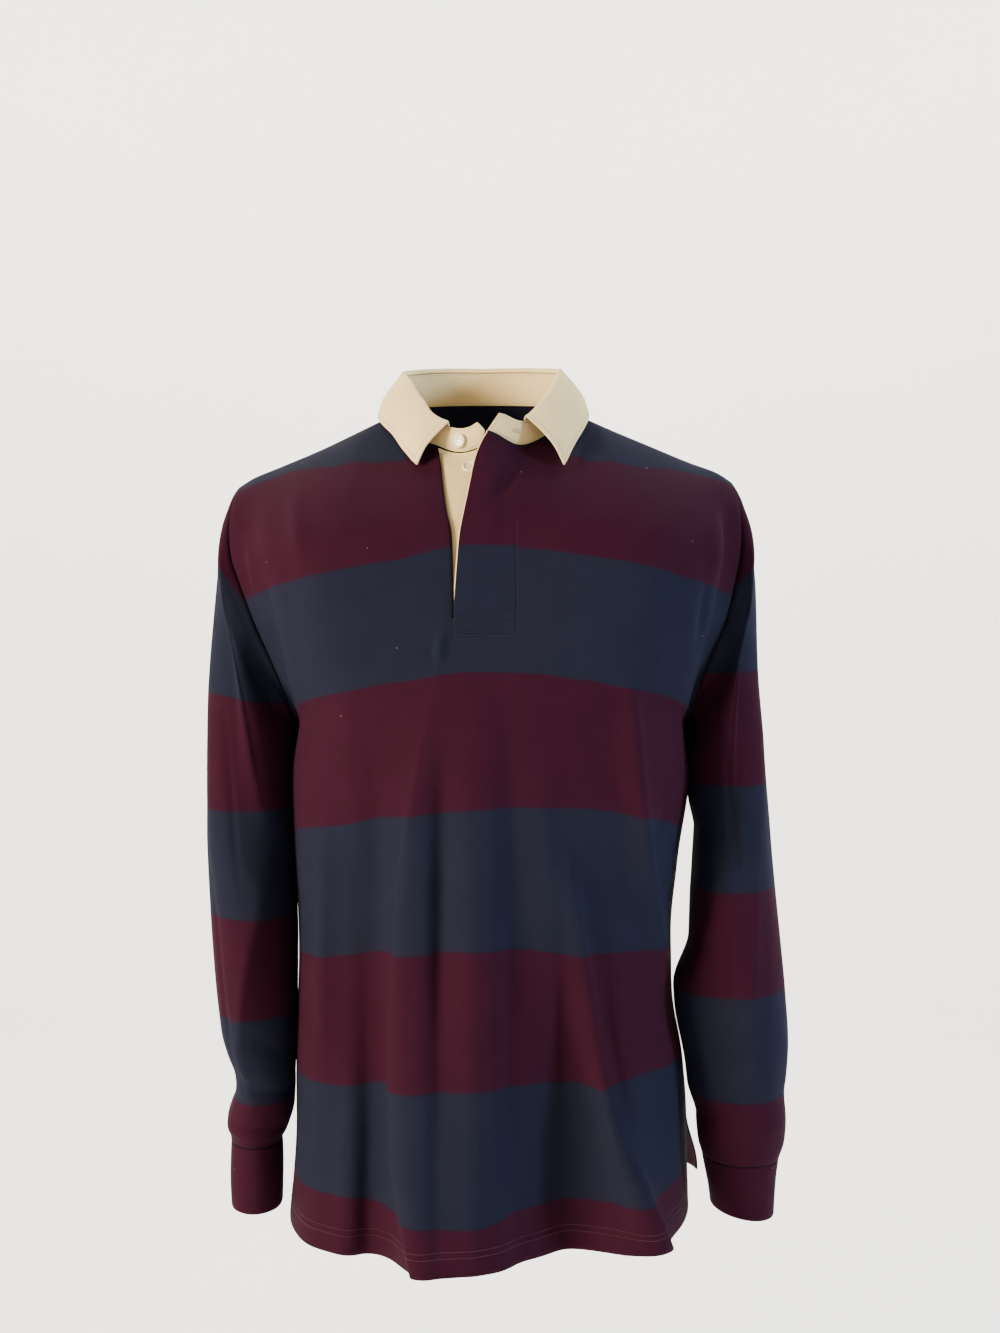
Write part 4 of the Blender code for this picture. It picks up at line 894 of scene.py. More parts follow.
def fine_back(t):
    """The back's fine points and places, from the wearer's left to right as seen from behind."""
    neck = finer(np.concatenate([[0.0], neck_places(BACK_ANGLES)]), ACROSS)
    places = np.concatenate([neck, shoulder_places()])
    u = np.concatenate([places[::-1], -places[1:]])
    u, tt = np.meshgrid(u, t)
    points = eased(folded(body_point(u, tt, back=True), BACK_FOLDS, u, tt), u, tt)
    return crumpled(points, u, tt, BACK_CREASES, BACK_SEED), u, tt


def fine_sleeve(table, side, armhole):
    """A sleeve's fine points and the base heights that its stripes follow."""
    angle = np.linspace(0.0, 2 * math.pi, len(armhole))
    w = finer((0.0,) + SLEEVE_ROWS, SLEEVE_DOWN)
    angle, ww = np.meshgrid(angle, w)
    points = tube_point(table, side, angle, ww)
    rest = armhole - points[0]
    points = points + rest[None] * (1 - ramp(0.0, 0.22, ww))[..., None]
    stripes = sleeve_stripe_places(side, points[..., 0], points[..., 2])
    normals = grid_normals(points, ring=True) * -side
    height = sleeve_folds(angle, ww, SLEEVE_FOLDS) + sleeve_folds(angle, ww, SLEEVE_CREASES[side])
    height = height * ramp(0.0, 0.1, ww) * ramp(1.0, 0.94, ww)
    degrees = np.degrees(angle)
    for middle, half, at, spread, rise in GATHERS[side]:
        away = (degrees - at + 180.0) % 360.0 - 180.0
        height = height + rise * np.exp(-(((ww - middle) / half) ** 2) - (away / spread) ** 2)
    for index, (wide, long, rise) in enumerate(CRUMPLE):
        around = np.minimum(angle, 2 * math.pi - angle) * 0.055
        seed = SLEEVE_SEED + side + 10 * index
        height = height + rise * drift(around / wide + 9.0, ww * 0.66 / long + 5.0, seed)
    height = height * ramp(0.0, 0.02, ww) * ramp(1.0, 0.988, ww)
    puff = SEAM_PUFF * np.exp(-(((ww - 0.012) / 0.012) ** 2)) * ramp(0.0, 0.006, ww)
    return points + normals * (height + puff)[..., None], stripes


def fine_cuff(table, side, ring):
    """A cuff from the sleeve's last ring down, double cloth turned at its edge."""
    angle, w = np.meshgrid(np.linspace(0.0, 2 * math.pi, len(ring)), np.linspace(0.0, 1.0, CUFF_DOWN + 1))
    points = tube_point(table, side, angle, w)
    points = points + (ring - points[0])[None] * ramp(0.3, 0.0, w)[..., None]
    normals = grid_normals(points, ring=True) * -side
    height = 0.0010 * drift(np.sin(angle) * 2.0 + 8.0, w * 1.6 + 4.0, SLEEVE_SEED + 40 + side)
    height = height * ramp(0.0, 0.2, w)
    return points + normals * height[..., None]


def fine_loop(front, back, slit, corner):
    """The neck seam from the stand's left end, round the back, to its right end."""
    n = SHOULDER_COLUMNS * ACROSS
    lap = LAP_COLUMNS * ACROSS
    left = front[0, n : slit + 1][::-1]
    share = np.linspace(1.0, 1.0 / lap, lap)[:, None]
    laps = left[0] + (np.array(LAP_END) - left[0]) * share + np.array(LAP_DIP) * np.sin(math.pi * share)
    behind = back[0, n : n + 2 * len(BACK_ANGLES) * ACROSS + 1][::-1]
    right = front[0, slit + 1 : slit + 2 + (STITCH_CELLS + len(RIGHT_ANGLES) - 1) * ACROSS][::-1]
    share = np.linspace(0.0, 1.0, ACROSS + 1)[1:, None]
    last = right[-1] + (corner - right[-1]) * share
    return np.concatenate([laps, left, behind[1:-1], right, last])


def fine_stand(loop):
    """The stand's outer points, from its foot at the neck seam up to the fold."""
    out, angle = neck_outward(loop)
    height = follow(COLLAR, 1, angle)
    lean = np.where(loop[:, 0] < NECK_X, follow(COLLAR, 2, angle), follow(COLLAR, 3, angle))
    direction = unit(out * lean[:, None] + np.array([0.0, 0.0, 1.0]))
    shares = np.linspace(0.0, 1.0, STAND_DOWN + 1)
    points = loop + direction * height[:, None] * shares[:, None, None]
    points = points + out * (np.sin(math.pi * shares) * STAND_SWELL)[:, None, None]
    cells = (len(loop) - 1) // ACROSS
    moves = np.zeros((len(STAND_SHARES), cells + 1, 3))
    for column, row_shares, move in STAND_ENDS:
        moves[:, column] += np.array(row_shares)[:, None] * move
    columns = np.arange(len(loop)) / ACROSS
    for axis in range(3):
        lines = [np.interp(columns, np.arange(cells + 1), line) for line in moves[..., axis]]
        for k, share in enumerate(shares):
            points[k, :, axis] += [np.interp(share, STAND_SHARES, place) for place in np.transpose(lines)]
    return points


def fine_leaf(stand, first, last):
    """The leaf's coarse rows on fine columns, from inside the stand's top down to its edge."""
    inward = walls(stand, TWILL)
    top = stand[-1, first : last + 1].copy()
    step = inward[-1, first : last + 1].copy()
    out, angle = neck_outward(top)
    side = np.where(top[:, 0] < NECK_X, -1.0, 1.0)
    start = np.where(side < 0, angle[0], angle[-1])
    spread = LEAF_START + (angle - start) / (180.0 - start) * (180.0 - LEAF_START)
    up = np.array([0.0, 0.0, 1.0])
    ridge = np.exp(-(((spread - RIDGE_ANGLE) / RIDGE_WIDTH) ** 2))[:, None]
    lift = RIDGE_LIFT * ridge
    edge = leaf_edge(spread, side) + up * (LEAF_LIFT + lift) + out * (LEAF_OUT + 0.7 * lift)
    rows = [top + step + up * rise for rise in INSIDE_RISES]
    rows += [top + up * rise + out * reach for rise, reach in ROLL]
    over = rows[-1]
    for share, swell in LEAF_FALL:
        rows.append(over + (edge - over) * share + (out + up) * swell)
    leaf = smooth(np.stack(rows), COLLAR_DOWN, COLLAR_ACROSS)
    even = leaf.copy()
    for _ in range(LEAF_EVENING):
        even[:, 1:-1] += (even[:, :-2] + even[:, 2:] - 2.0 * even[:, 1:-1]) * LEAF_SHARE
    columns = np.arange(leaf.shape[1])
    inside = ramp(0.0, 14.0, np.minimum(columns, columns[::-1]))[None, :, None]
    fall = ramp(0.35, 0.75, np.linspace(0.0, 1.0, len(leaf)))[:, None, None]
    even[..., 2] += LEAF_RAISE
    return leaf + (even - leaf) * inside * fall


def fine_overlay(front, slit, open_here):
    """The overlay's points on the front, from its free edge to its stitched side."""
    foot = int(np.nonzero(open_here)[0].max()) + 1
    extra = int(np.searchsorted(-front[:, slit + 1, 2], -OVERLAY_FOOT_Z))
    on_front = front[: max(foot, extra) + 1, slit + 1 : slit + 2 + STITCH_CELLS * ACROSS]
    away = unit(on_front[:, :1] - on_front[:, 1:2])
    lap = [on_front[:, :1] + away * OVERLAY_LAP * share for share in (1.0, 0.5)]
    return np.concatenate(lap + [on_front], axis=1)


def fine_underlay(loop, t):
    """The underlay inside the front, from behind the stand's left end to the placket's foot."""
    height = body_point(np.full(len(t), SLIT_U), t)[:, 2]
    kept = (height > UNDERLAY_FOOT_Z) & (t > 0.0)
    rows, height = t[kept], height[kept]
    reach = np.array(UNDERLAY_COLUMNS)
    x = follow(SLIT, 1, height)[:, None] + reach * ramp(-0.26, -0.17, height)[:, None]
    tt = np.broadcast_to(rows[:, None], x.shape)
    u = u_at(x, tt)
    low = folded(body_point(u, tt), FRONT_FOLDS, u, tt)
    line = loop[: (LAP_COLUMNS + len(LEFT_ANGLES)) * ACROSS : ACROSS]
    line = line[np.argsort(line[:, 0])]
    x_top = line[:, 0].max() - UNDERLAY_TOP_IN + reach - reach[-1]
    top = stack(x_top, np.interp(x_top, line[:, 0], line[:, 1]), np.interp(x_top, line[:, 0], line[:, 2]))
    points = np.concatenate([top[None], low])
    points = points - grid_normals(points) * (JERSEY + LAY_GAP)
    points[0] += np.array(UNDERLAY_TOP)
    return smooth(points, DOWN, ACROSS)


def armhole_ring(front, back, side):
    """The armhole's points from the shoulder tip, down the front and up the back."""
    rows = ARMHOLE_ROWS * DOWN + 1
    down = front[:rows, -1 if side > 0 else 0]
    up = back[:rows, 0 if side > 0 else -1][::-1]
    return np.concatenate([down, up[1:]])


def joined(front, back):
    """Makes the two panels share their shoulder and side seams, so that no gap shows."""
    n = SHOULDER_COLUMNS * ACROSS
    rows = np.arange(len(front))
    together = rows <= np.searchsorted(fine_rows(), VENT_T)
    shared = (rows >= ARMHOLE_ROWS * DOWN) & together
    for side in (-1, 1):
        f, b = (0, -1) if side < 0 else (-1, 0)
        span_f = slice(0, n + 1) if side < 0 else slice(-n - 1, None)
        span_b = slice(-n - 1, None) if side < 0 else slice(0, n + 1)
        back[0, span_b] = front[0, span_f][::-1]
        middle = (front[:, f] + back[:, b]) / 2
        front[shared, f] = middle[shared]
        back[shared, b] = middle[shared]


def beside_body(points, seam, side):
    """The sleeve with its inner side brought to the body where the two touch in wear."""
    x, z = points[..., 0] * side, points[..., 2]
    level = np.take_along_axis(z, x.argmin(axis=1)[:, None], axis=1)[:, 0]
    inner, middle = x.min(axis=1), (x.min(axis=1) + x.max(axis=1)) / 2
    body = np.interp(-level, -seam[:, 2], seam[:, 0] * side)
    reach = np.clip(inner - body + TOUCH_OVERLAP, 0.0, TOUCH_MOST) * follow(TOUCHING[side], 1, -level)
    share = np.clip((middle[:, None] - x) / (middle - inner)[:, None], 0.0, 1.0)
    share = share * share * (3.0 - 2.0 * share)
    moved = points.copy()
    moved[..., 0] -= side * reach[:, None] * share
    return moved


@functools.lru_cache(maxsize=1)
def cut():
    """Every fine grid of the garment, worked out once."""
    t = fine_rows()
    front, u, tt, slit, open_here = fine_front(t)
    back, back_u, back_t = fine_back(t)
    joined(front, back)
    overlay = fine_overlay(front, slit, open_here)
    loop = fine_loop(front, back, slit, overlay[0, 0])
    stand = fine_stand(loop)
    first = (LAP_COLUMNS - 1) * ACROSS
    last = (len(loop) // ACROSS - STITCH_CELLS - 1) * ACROSS - round(LEAF_END_SHARE * ACROSS)
    sleeves = {}
    for side, table in ((-1, SLEEVE_RIGHT), (1, SLEEVE_LEFT)):
        points, stripes = fine_sleeve(table, side, armhole_ring(front, back, side))
        sleeves[side] = beside_body(points, front[:, 0 if side < 0 else -1], side), stripes
    return {
        "front": (front, u, tt),
        "back": (back, back_u, back_t),
        "slit": slit,
        "open": open_here,
        "overlay": overlay,
        "underlay": fine_underlay(loop, body_rows()),
        "stand": stand,
        "leaf": fine_leaf(stand, first, last),
        "sleeves": sleeves,
    }


def shell(
    name, points, places, marks, thickness, finish, ring=False, open_cells=(), turned=False, rounded=0
):
    """A cloth piece on this grid, with its places in metres, its marks and a wall behind it."""
    rows, columns = points.shape[0] - 1, points.shape[1] - 1
    bm = bmesh.new()
    bmesh.ops.create_grid(bm, x_segments=columns, y_segments=rows, size=1.0)
    layers = {word: bm.verts.layers.float.new(word) for word in marks}
    uv = bm.loops.layers.uv.new("cloth")
    index = {}
    for vert in bm.verts:
        key = (round((1 - vert.co.y) / 2 * rows), round((vert.co.x + 1) / 2 * columns))
        index[vert] = key
        vert.co = points[key]
        for word, layer in layers.items():
            vert[layer] = marks[word][key]
    gone = []
    for face in bm.faces:
        for loop in face.loops:
            loop[uv].uv = places[index[loop.vert]]
        if min(index[vert] for vert in face.verts) in open_cells:
            gone.append(face)
    if gone:
        bmesh.ops.delete(bm, geom=gone, context="FACES")
    if ring:
        bmesh.ops.remove_doubles(bm, verts=bm.verts, dist=1e-6)
    if turned:
        bmesh.ops.reverse_faces(bm, faces=bm.faces)
    piece = placed(name, bm, finish)
    wall = piece.modifiers.new("wall", "SOLIDIFY")
    wall.thickness = thickness
    wall.offset = -1.0
    if rounded:
        soft = piece.modifiers.new("soft edge", "SUBSURF")
        soft.levels = soft.render_levels = rounded
    return piece


def linked(name, data):
    """A new object in the scene with this mesh, light or camera."""
    made = bpy.data.objects.new(name, data)
    bpy.context.scene.collection.objects.link(made)
    return made


def mesh_from(name, bm):
    """A new mesh with what the bmesh holds, which is freed."""
    mesh = bpy.data.meshes.new(name)
    bm.to_mesh(mesh)
    bm.free()
    return mesh


def placed(name, bm, finish, smooth_faces=True):
    """Turns a bmesh into a piece of the garment that rides on its body."""
    mesh = mesh_from(name, bm)
    if smooth_faces:
        mesh.shade_smooth()
    mesh.materials.append(finish)
    piece = linked(name, mesh)
    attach(piece, BODY)
    return piece


def spun(line, steps, merge):
    """A bmesh turned from a line of points round the Z axis."""
    bm = bmesh.new()
    verts = [bm.verts.new(point) for point in line]
    for a, b in zip(verts, verts[1:]):
        bm.edges.new((a, b))
    geometry = bm.verts[:] + bm.edges[:]
    whole = {"steps": steps, "angle": 2 * math.pi, "use_merge": True}
    bmesh.ops.spin(bm, geom=geometry, axis=(0, 0, 1), cent=(0, 0, 0), **whole)
    bmesh.ops.remove_doubles(bm, verts=bm.verts, dist=merge)
    bmesh.ops.recalc_face_normals(bm, faces=bm.faces)
    return bm


def posed(across, along, out, middle):
    """The matrix that puts a shape here, with its X, Y and Z along these three."""
    lines = [[across[i], along[i], out[i], middle[i]] for i in range(3)]
    return Matrix(lines + [[0.0, 0.0, 0.0, 1.0]])


def panel_places(points):
    """Each point's place on the cloth in metres: across from the middle, and up from the hem."""
    across = run(points, 1)
    middle = points.shape[1] // 2
    across = across - across[:, middle : middle + 1]
    down = run(points, 0)[:, middle]
    return np.stack(np.broadcast_arrays(across, (down[-1] - down)[:, None]), axis=-1)


def tube_places(points):
    """Each point's place on the cloth of a sleeve or cuff in metres: round it, and up."""
    return np.stack([run(points, 1), -points[..., 2]], axis=-1)


def panel_marks(points, stripe):
    """A panel's stripes, and how far each point is from the seams and from the hem."""
    down = run(points, 0)
    edge = np.minimum(to_sides(points, 1), down)
    return {"stripe": stripe, "edge": edge, "hem": down[-1:] - down}


def sample(grid, row, column):
    """Points of the grid at these fractional rows and columns."""
    i = np.clip(np.floor(row).astype(int), 0, grid.shape[0] - 2)
    j = np.clip(np.floor(column).astype(int), 0, grid.shape[1] - 2)
    a, b = (row - i)[:, None], (column - j)[:, None]
    top = grid[i, j] * (1 - b) + grid[i, j + 1] * b
    low = grid[i + 1, j] * (1 - b) + grid[i + 1, j + 1] * b
    return top * (1 - a) + low * a


def level_line(grid, distance, columns, end=-1):
    """Rows and columns of a line at a steady distance from the grid's last row, or its first."""
    down = run(grid, 0)
    away = down[-1:] - down if end < 0 else down
    order = slice(None, None, -1) if end < 0 else slice(None)
    places = np.arange(len(grid))[order]
    rows = [np.interp(distance, away[order, column], places) for column in columns]
    return np.array(rows), np.array(columns, float)


def upright_line(grid, distance, rows, end):
    """Rows and columns of a line at a steady distance from the grid's first column, or its last."""
    columns, rows = level_line(grid.transpose(1, 0, 2), distance, rows, end)
    return rows, columns


def stitch_line(bm, grid, row, column, sizes, outward=1.0):
    """Sews a row of stitches along a line of the grid."""
    fine = np.linspace(0.0, len(row) - 1.0, max(2, len(row) * 4))
    row = np.interp(fine, np.arange(len(row)), row)
    column = np.interp(fine, np.arange(len(column)), column)
    points = sample(grid, row, column)
    normals = unit(sample(grid_normals(grid), row, column)) * outward
    length = np.concatenate([[0.0], np.cumsum(np.linalg.norm(np.diff(points, axis=0), axis=1))])
    count = int(length[-1] / sizes.pitch)
    span = 0.2 * sizes.pitch
    half_length, half_width, half_height = sizes.length / 2, sizes.width / 2, sizes.width * 0.4

    def place_at(values, at):
        return np.array([np.interp(at, length, values[:, i]) for i in range(3)])

    for k in range(count):
        at = (k + 0.5) * length[-1] / count
        start, stop = place_at(points, at - span), place_at(points, at + span)
        normal = unit(place_at(normals, at))
        along = unit(stop - start)
        beside = np.cross(normal, along)
        middle = (start + stop) / 2 + normal * (0.25 * sizes.width)
        matrix = posed(along * half_length, beside * half_width, normal * half_height, middle)
        bmesh.ops.create_icosphere(bm, subdivisions=1, radius=1.0, matrix=matrix)


class Signal:
    """A value in a material's nodes. Arithmetic on it adds Math nodes."""

    def __init__(self, finish, socket):
        self.finish, self.socket = finish, socket

    def math(self, operation, first, second=0.0, third=0.0):
        return self.finish.node("ShaderNodeMath", {"operation": operation}, {0: first, 1: second, 2: third})

    def __add__(self, other):
        return self.math("ADD", self, other)

    def __radd__(self, other):
        return self.math("ADD", other, self)

    def __sub__(self, other):
        return self.math("SUBTRACT", self, other)

    def __rsub__(self, other):
        return self.math("SUBTRACT", other, self)

    def __mul__(self, other):
        return self.math("MULTIPLY", self, other)

    def __rmul__(self, other):
        return self.math("MULTIPLY", other, self)

    def __truediv__(self, other):
        return self.math("DIVIDE", self, other)

    def __abs__(self):
        return self.math("ABSOLUTE", self)

    def wave(self):
        return self.math("SINE", self)

    def fold(self, scale=0.5):
        return self.math("PINGPONG", self, scale)

    def within(self):
        """The value held between 0 and 1."""
        return self.math("ADD", self, 0.0).clamped()

    def clamped(self):
        self.socket.node.use_clamp = True
        return self


class Finish:
    """One material: its nodes come from node(), and its shader takes what changes and what doesn't."""

    def __init__(self, name):
        self.material = bpy.data.materials.new(name)
        self.material.use_nodes = True
        self.tree = self.material.node_tree
        self.shader = self.tree.nodes["Principled BSDF"]

    def node(self, kind, settings=(), inputs=(), output=0):
        made = self.tree.nodes.new(kind)
        for key, value in dict(settings).items():
            if key == "stops":
                for stop, (at, colour) in zip(made.color_ramp.elements, value):
                    stop.position, stop.color = at, colour
            else:
                setattr(made, key, value)
        self.feed(made, inputs)
        return Signal(self, made.outputs[output])

    def feed(self, node, inputs):
        for key, value in dict(inputs).items():
            if isinstance(value, Signal):
                self.tree.links.new(value.socket, node.inputs[key])
            else:
                node.inputs[key].default_value = value

    def mark(self, word):
        return self.node("ShaderNodeAttribute", {"attribute_name": word}, output=2)

    def noise(self, vector, scale, detail=2.0, roughness=0.5):
        inputs = {"Vector": vector, "Scale": scale, "Detail": detail, "Roughness": roughness}
        return self.node("ShaderNodeTexNoise", (), inputs)

    def mix(self, share, first, second):
        return self.node("ShaderNodeMix", {"data_type": "RGBA"}, {0: share, 6: first, 7: second}, output=2)

    def bump(self, height, strength, distance):
        inputs = {"Height": height, "Strength": strength, "Distance": distance}
        return self.node("ShaderNodeBump", (), inputs)

    def finish(self, **inputs):
        self.feed(self.shader, {word.replace("_", " "): value for word, value in inputs.items()})
        return self.material


def cloth_places(finish):
    """The cloth's own places in metres: the vector, across and up."""
    vector = finish.node("ShaderNodeUVMap", {"uv_map": "cloth"})
    across = finish.node("ShaderNodeSeparateXYZ", (), {0: vector}, output=0)
    up = finish.node("ShaderNodeSeparateXYZ", (), {0: vector}, output=1)
    return vector, across, up


def groove(signal, at, half):
    """1 where the signal is at this value, falling to 0 on both sides."""
    return (1.0 - abs(signal - at) / half).within()


def knit(across, up, pitch):
    """The height of plain knitting: columns of small slanting loops."""
    column = (across / pitch).fold(0.5) * 2.0
    loops = ((up / (pitch * 0.78) + column * 0.45) * (2 * math.pi)).wave() * 0.5 + 0.5
    return loops * 0.55 + (1.0 - (1.0 - column) * (1.0 - column)) * 0.45


def jersey(name, colours, sizes):
    """Matte striped knit with its wales, seam grooves, mottling and a little lint; painted shade between
    its loops and in the seam and hem grooves.
    """
    finish = Finish(name)
    vector, across, up = cloth_places(finish)
    stripe, edge, hem = finish.mark("stripe"), finish.mark("edge"), finish.mark("hem")
    loops = knit(across, up, sizes.wale)
    fuzz = finish.noise(vector, 900.0, 3.0, 0.6)
    mottle = finish.noise(vector, 26.0, 3.0, 0.55)
    wobble = (finish.noise(vector, 420.0, 1.0) - 0.5) * 0.02
    navy = ((stripe + wobble) * math.pi).math("COSINE", (stripe + wobble) * math.pi)
    navy = (navy * 45.0 + 0.5).within()
    burgundy_cloth = finish.mix(mottle, colours.burgundy_deep[:], colours.burgundy[:])
    navy_cloth = finish.mix(mottle, colours.navy_deep[:], colours.navy[:])
    colour = finish.mix(navy, burgundy_cloth, navy_cloth)
    # Painted shade between the knit's loops, with a random tone from the fuzz
    shadow = (0.18 * (1.0 - loops) + (fuzz - 0.5) * 0.30).within()
    # Painted shade in the seam grooves and along the hem's stitch rows, mixed towards the shade tone below
    sewn = groove(edge, 0.0, 0.0016) * 0.55
    for row in HEM_ROWS:
        sewn = sewn + groove(hem, row, 0.0011) * 0.35
    sewn = sewn.within()
    colour = finish.mix((shadow + sewn).within(), colour, SHADE_TONE)
    cells = {"Vector": vector, "Scale": 75.0}
    bits = finish.node("ShaderNodeTexVoronoi", {"feature": "F1"}, cells, output=0)
    chance = finish.node("ShaderNodeTexVoronoi", {"feature": "F1"}, cells, output=1)
    chance = finish.node("ShaderNodeSeparateXYZ", (), {0: chance}, output=0)
    lint = ((0.030 - bits) * 120.0).within() * ((chance - 0.93) * 60.0).within()
    colour = finish.mix(lint * 0.6, colour, LINT_TONE)
    height = loops * 0.6 + fuzz * 0.7 - sewn * 3.0
    return finish.finish(
        Base_Color=colour,
        Roughness=0.78 + fuzz * 0.16,
        Specular_IOR_Level=0.03,
        Sheen_Weight=0.012,
        Sheen_Roughness=0.4,
        Sheen_Tint=(0.62, 0.62, 0.75, 1.0),
        Normal=finish.bump(height, 0.45, 0.0004),
    )


def twill(name, colours, sizes):
    """Ecru cotton twill: fine slanting ribs, soft puckers along its stitching and slight shading."""
    finish = Finish(name)
    vector, across, up = cloth_places(finish)
    edge = finish.mark("edge")
    ribs = ((across + up * 1.15) / sizes.twill * (2 * math.pi)).wave() * 0.5 + 0.5
    threads = (across / (sizes.twill * 0.5) * (2 * math.pi)).wave() * 0.5 + 0.5
    mottle = finish.noise(vector, 40.0, 4.0, 0.6)
    fuzz = finish.noise(vector, 1400.0, 2.0, 0.5)
    pucker = finish.noise(vector, 170.0, 2.0, 0.5) * groove(edge, 0.0, 0.012)
    base = finish.mix(mottle, colours.ecru_deep[:], colours.ecru[:])
    line = groove(edge, sizes.topstitch, 0.0013)
    shade = line * 0.42 + (1.0 - ribs) * 0.05 + (fuzz - 0.5) * 0.10
    colour = finish.mix(shade.within(), base, colours.ecru_shade[:])
    height = ribs * 0.5 + threads * 0.2 + pucker * 5.0 - line * 3.2 + fuzz * 0.3
    return finish.finish(
        Base_Color=colour,
        Roughness=0.80 + fuzz * 0.12,
        Specular_IOR_Level=0.12,
        Sheen_Weight=0.03,
        Sheen_Roughness=0.4,
        Normal=finish.bump(height, 0.5, 0.0004),
    )


def resin(name, colours):
    """Ivory button resin with faint clouding under a polish."""
    finish = Finish(name)
    vector = finish.node("ShaderNodeTexCoord", output=3)
    cloud = finish.noise(vector, 320.0, 3.0, 0.5)
    scuff = finish.noise(vector, 1600.0, 2.0, 0.6)
    colour = finish.mix(cloud, colours.ivory[:], colours.ivory_deep[:])
    return finish.finish(
        Base_Color=colour,
        Roughness=0.22 + scuff * 0.16,
        Specular_IOR_Level=0.5,
        Coat_Weight=0.25,
        Normal=finish.bump(cloud, 0.08, 0.0003),
    )


def deeper(colour, share):
    """The colour with this share of its brightness."""
    return [part * share for part in colour[:3]] + [1.0]


def thread(name, colour, deep):
    """Twisted sewing thread."""
    finish = Finish(name)
    vector = finish.node("ShaderNodeTexCoord", output=3)
    twist = finish.noise(vector, 2600.0, 2.0, 0.5)
    return finish.finish(
        Base_Color=finish.mix(twist, deep[:], colour[:]),
        Roughness=0.6 + twist * 0.2,
        Specular_IOR_Level=0.35,
        Normal=finish.bump(twist, 0.4, 0.0002),
    )


def backdrop(name, colour):
    """Plain pale paint with a hardly visible unevenness."""
    finish = Finish(name)
    vector = finish.node("ShaderNodeTexCoord", output=3)
    cloud = finish.noise(vector, 2.0, 2.0, 0.5)
    return finish.finish(
        Base_Color=finish.mix(cloud, deeper(colour, 0.97), colour[:]),
        Roughness=0.9 + cloud * 0.05,
        Specular_IOR_Level=0.1,
    )


def sweep_line():
    """The round stage's floor, bend and wall: distance from its middle, height above the floor."""
    flat = STAGE_RADIUS - STAGE_BEND
    turns = np.linspace(0.0, math.pi / 2, 17)
    bend = [(flat + STAGE_BEND * math.sin(a), STAGE_BEND * (1.0 - math.cos(a))) for a in turns]
    return [(0.0, 0.0)] + bend + [(STAGE_RADIUS, STAGE_TOP)]


def measure(name, default, low, high, description):
    """A length in metres between two limits."""
    limits = {"min": low, "max": high, "precision": 4}
    return bpy.props.FloatProperty(
        name=name, description=description, default=default, unit="LENGTH", **limits
    )


def watts(name, default, description):
    """A lamp's power."""
    return bpy.props.FloatProperty(
        name=name, description=description, default=default, min=0.0, unit="POWER"
    )


def paint(name, colour, description):
    """A colour with its alpha."""
    limits = {"size": 4, "min": 0.0, "max": 1.0}
    return bpy.props.FloatVectorProperty(
        name=name, description=description, default=colour, subtype="COLOR", **limits
    )


class ShirtSizes(bpy.types.PropertyGroup):
    """Sizes of the cloth and its stitches."""

    jersey: measure("Jersey", JERSEY, 0.0005, 0.004, "Thickness of the knitted cloth")
    twill_wall: measure("Collar cloth", TWILL, 0.0005, 0.004, "Thickness of the two-ply collar")
    underlay_wall: measure("Underlay", UNDERLAY, 0.0005, 0.004, "Thickness of the placket's underlay")
    cuff_wall: measure("Cuff", CUFF, 0.0005, 0.005, "Thickness of the doubled cuff")
    wale: measure("Wale", 0.0009, 0.0003, 0.003, "Width of one column of the knit")
    twill: measure("Twill rib", 0.0008, 0.0003, 0.003, "Distance between the twill's ribs")
    topstitch: measure("Topstitch", 0.005, 0.001, 0.012, "How far the collar's stitching is from its edge")
    pitch: measure("Stitch pitch", 0.0029, 0.001, 0.006, "Distance from one stitch to the next")
    length: measure("Stitch length", 0.0024, 0.001, 0.006, "Length of thread that shows in one stitch")
    width: measure("Thread", 0.0005, 0.0002, 0.001, "Thickness of the sewing thread")


class ShirtColours(bpy.types.PropertyGroup):
    """Colours of the cloth, thread and buttons."""

    burgundy: paint("Burgundy", (0.0225, 0.0034, 0.0098, 1.0), "Lighter tone of these stripes")
    burgundy_deep: paint("Deep burgundy", (0.0185, 0.0026, 0.0078, 1.0), "Darker tone of these stripes")
    navy: paint("Navy", (0.0088, 0.0096, 0.0185, 1.0), "Lighter tone of these stripes")
    navy_deep: paint("Deep navy", (0.0070, 0.0076, 0.0150, 1.0), "Darker tone of these stripes")
    ecru: paint("Ecru", (0.640, 0.480, 0.225, 1.0), "Collar and placket cloth")
    ecru_deep: paint("Deep ecru", (0.600, 0.435, 0.190, 1.0), "Darker tone of the collar cloth")
    ecru_shade: paint("Ecru shade", (0.420, 0.330, 0.190, 1.0), "Shade in the collar's stitched lines")
    ivory: paint("Ivory", (0.780, 0.640, 0.400, 1.0), "Buttons")
    ivory_deep: paint("Deep ivory", (0.700, 0.560, 0.330, 1.0), "Clouding in the buttons")
    thread_dark: paint("Dark thread", (0.020, 0.014, 0.022, 1.0), "Thread of the hem and placket")
    thread_red: paint("Burgundy thread", (0.080, 0.022, 0.036, 1.0), "Thread of the hem")
    thread_pale: paint("Pale thread", (0.600, 0.450, 0.240, 1.0), "Thread of the collar and buttons")


class ShirtStage(bpy.types.PropertyGroup):
    """Floor, backdrop, lights and camera."""

    floor: measure("Floor", -1.45, -10.0, 0.0, "Height of the floor")
    paint: paint("Paint", (0.86, 0.84, 0.81, 1.0), "Floor and backdrop")
    warm: paint("Warm light", (1.0, 0.90, 0.76, 1.0), "Large light at the left")
    cool: paint("Cool light", (0.50, 0.70, 1.0, 1.0), "Light at the right")
    key: watts("Key", 230.0, "Power of the large light, in watts")
    fill: watts("Fill", 120.0, "Power of the light at the right, in watts")
    wall: watts("Backdrop light", 310.0, "Power of each light on the backdrop, in watts")
    room: bpy.props.FloatProperty(
        name="Room", description="Strength of the light from all round", default=0.06, min=0.0
    )


def settings():
    scene = bpy.context.scene
    return scene.shirt_sizes, scene.shirt_colours, scene.shirt_stage


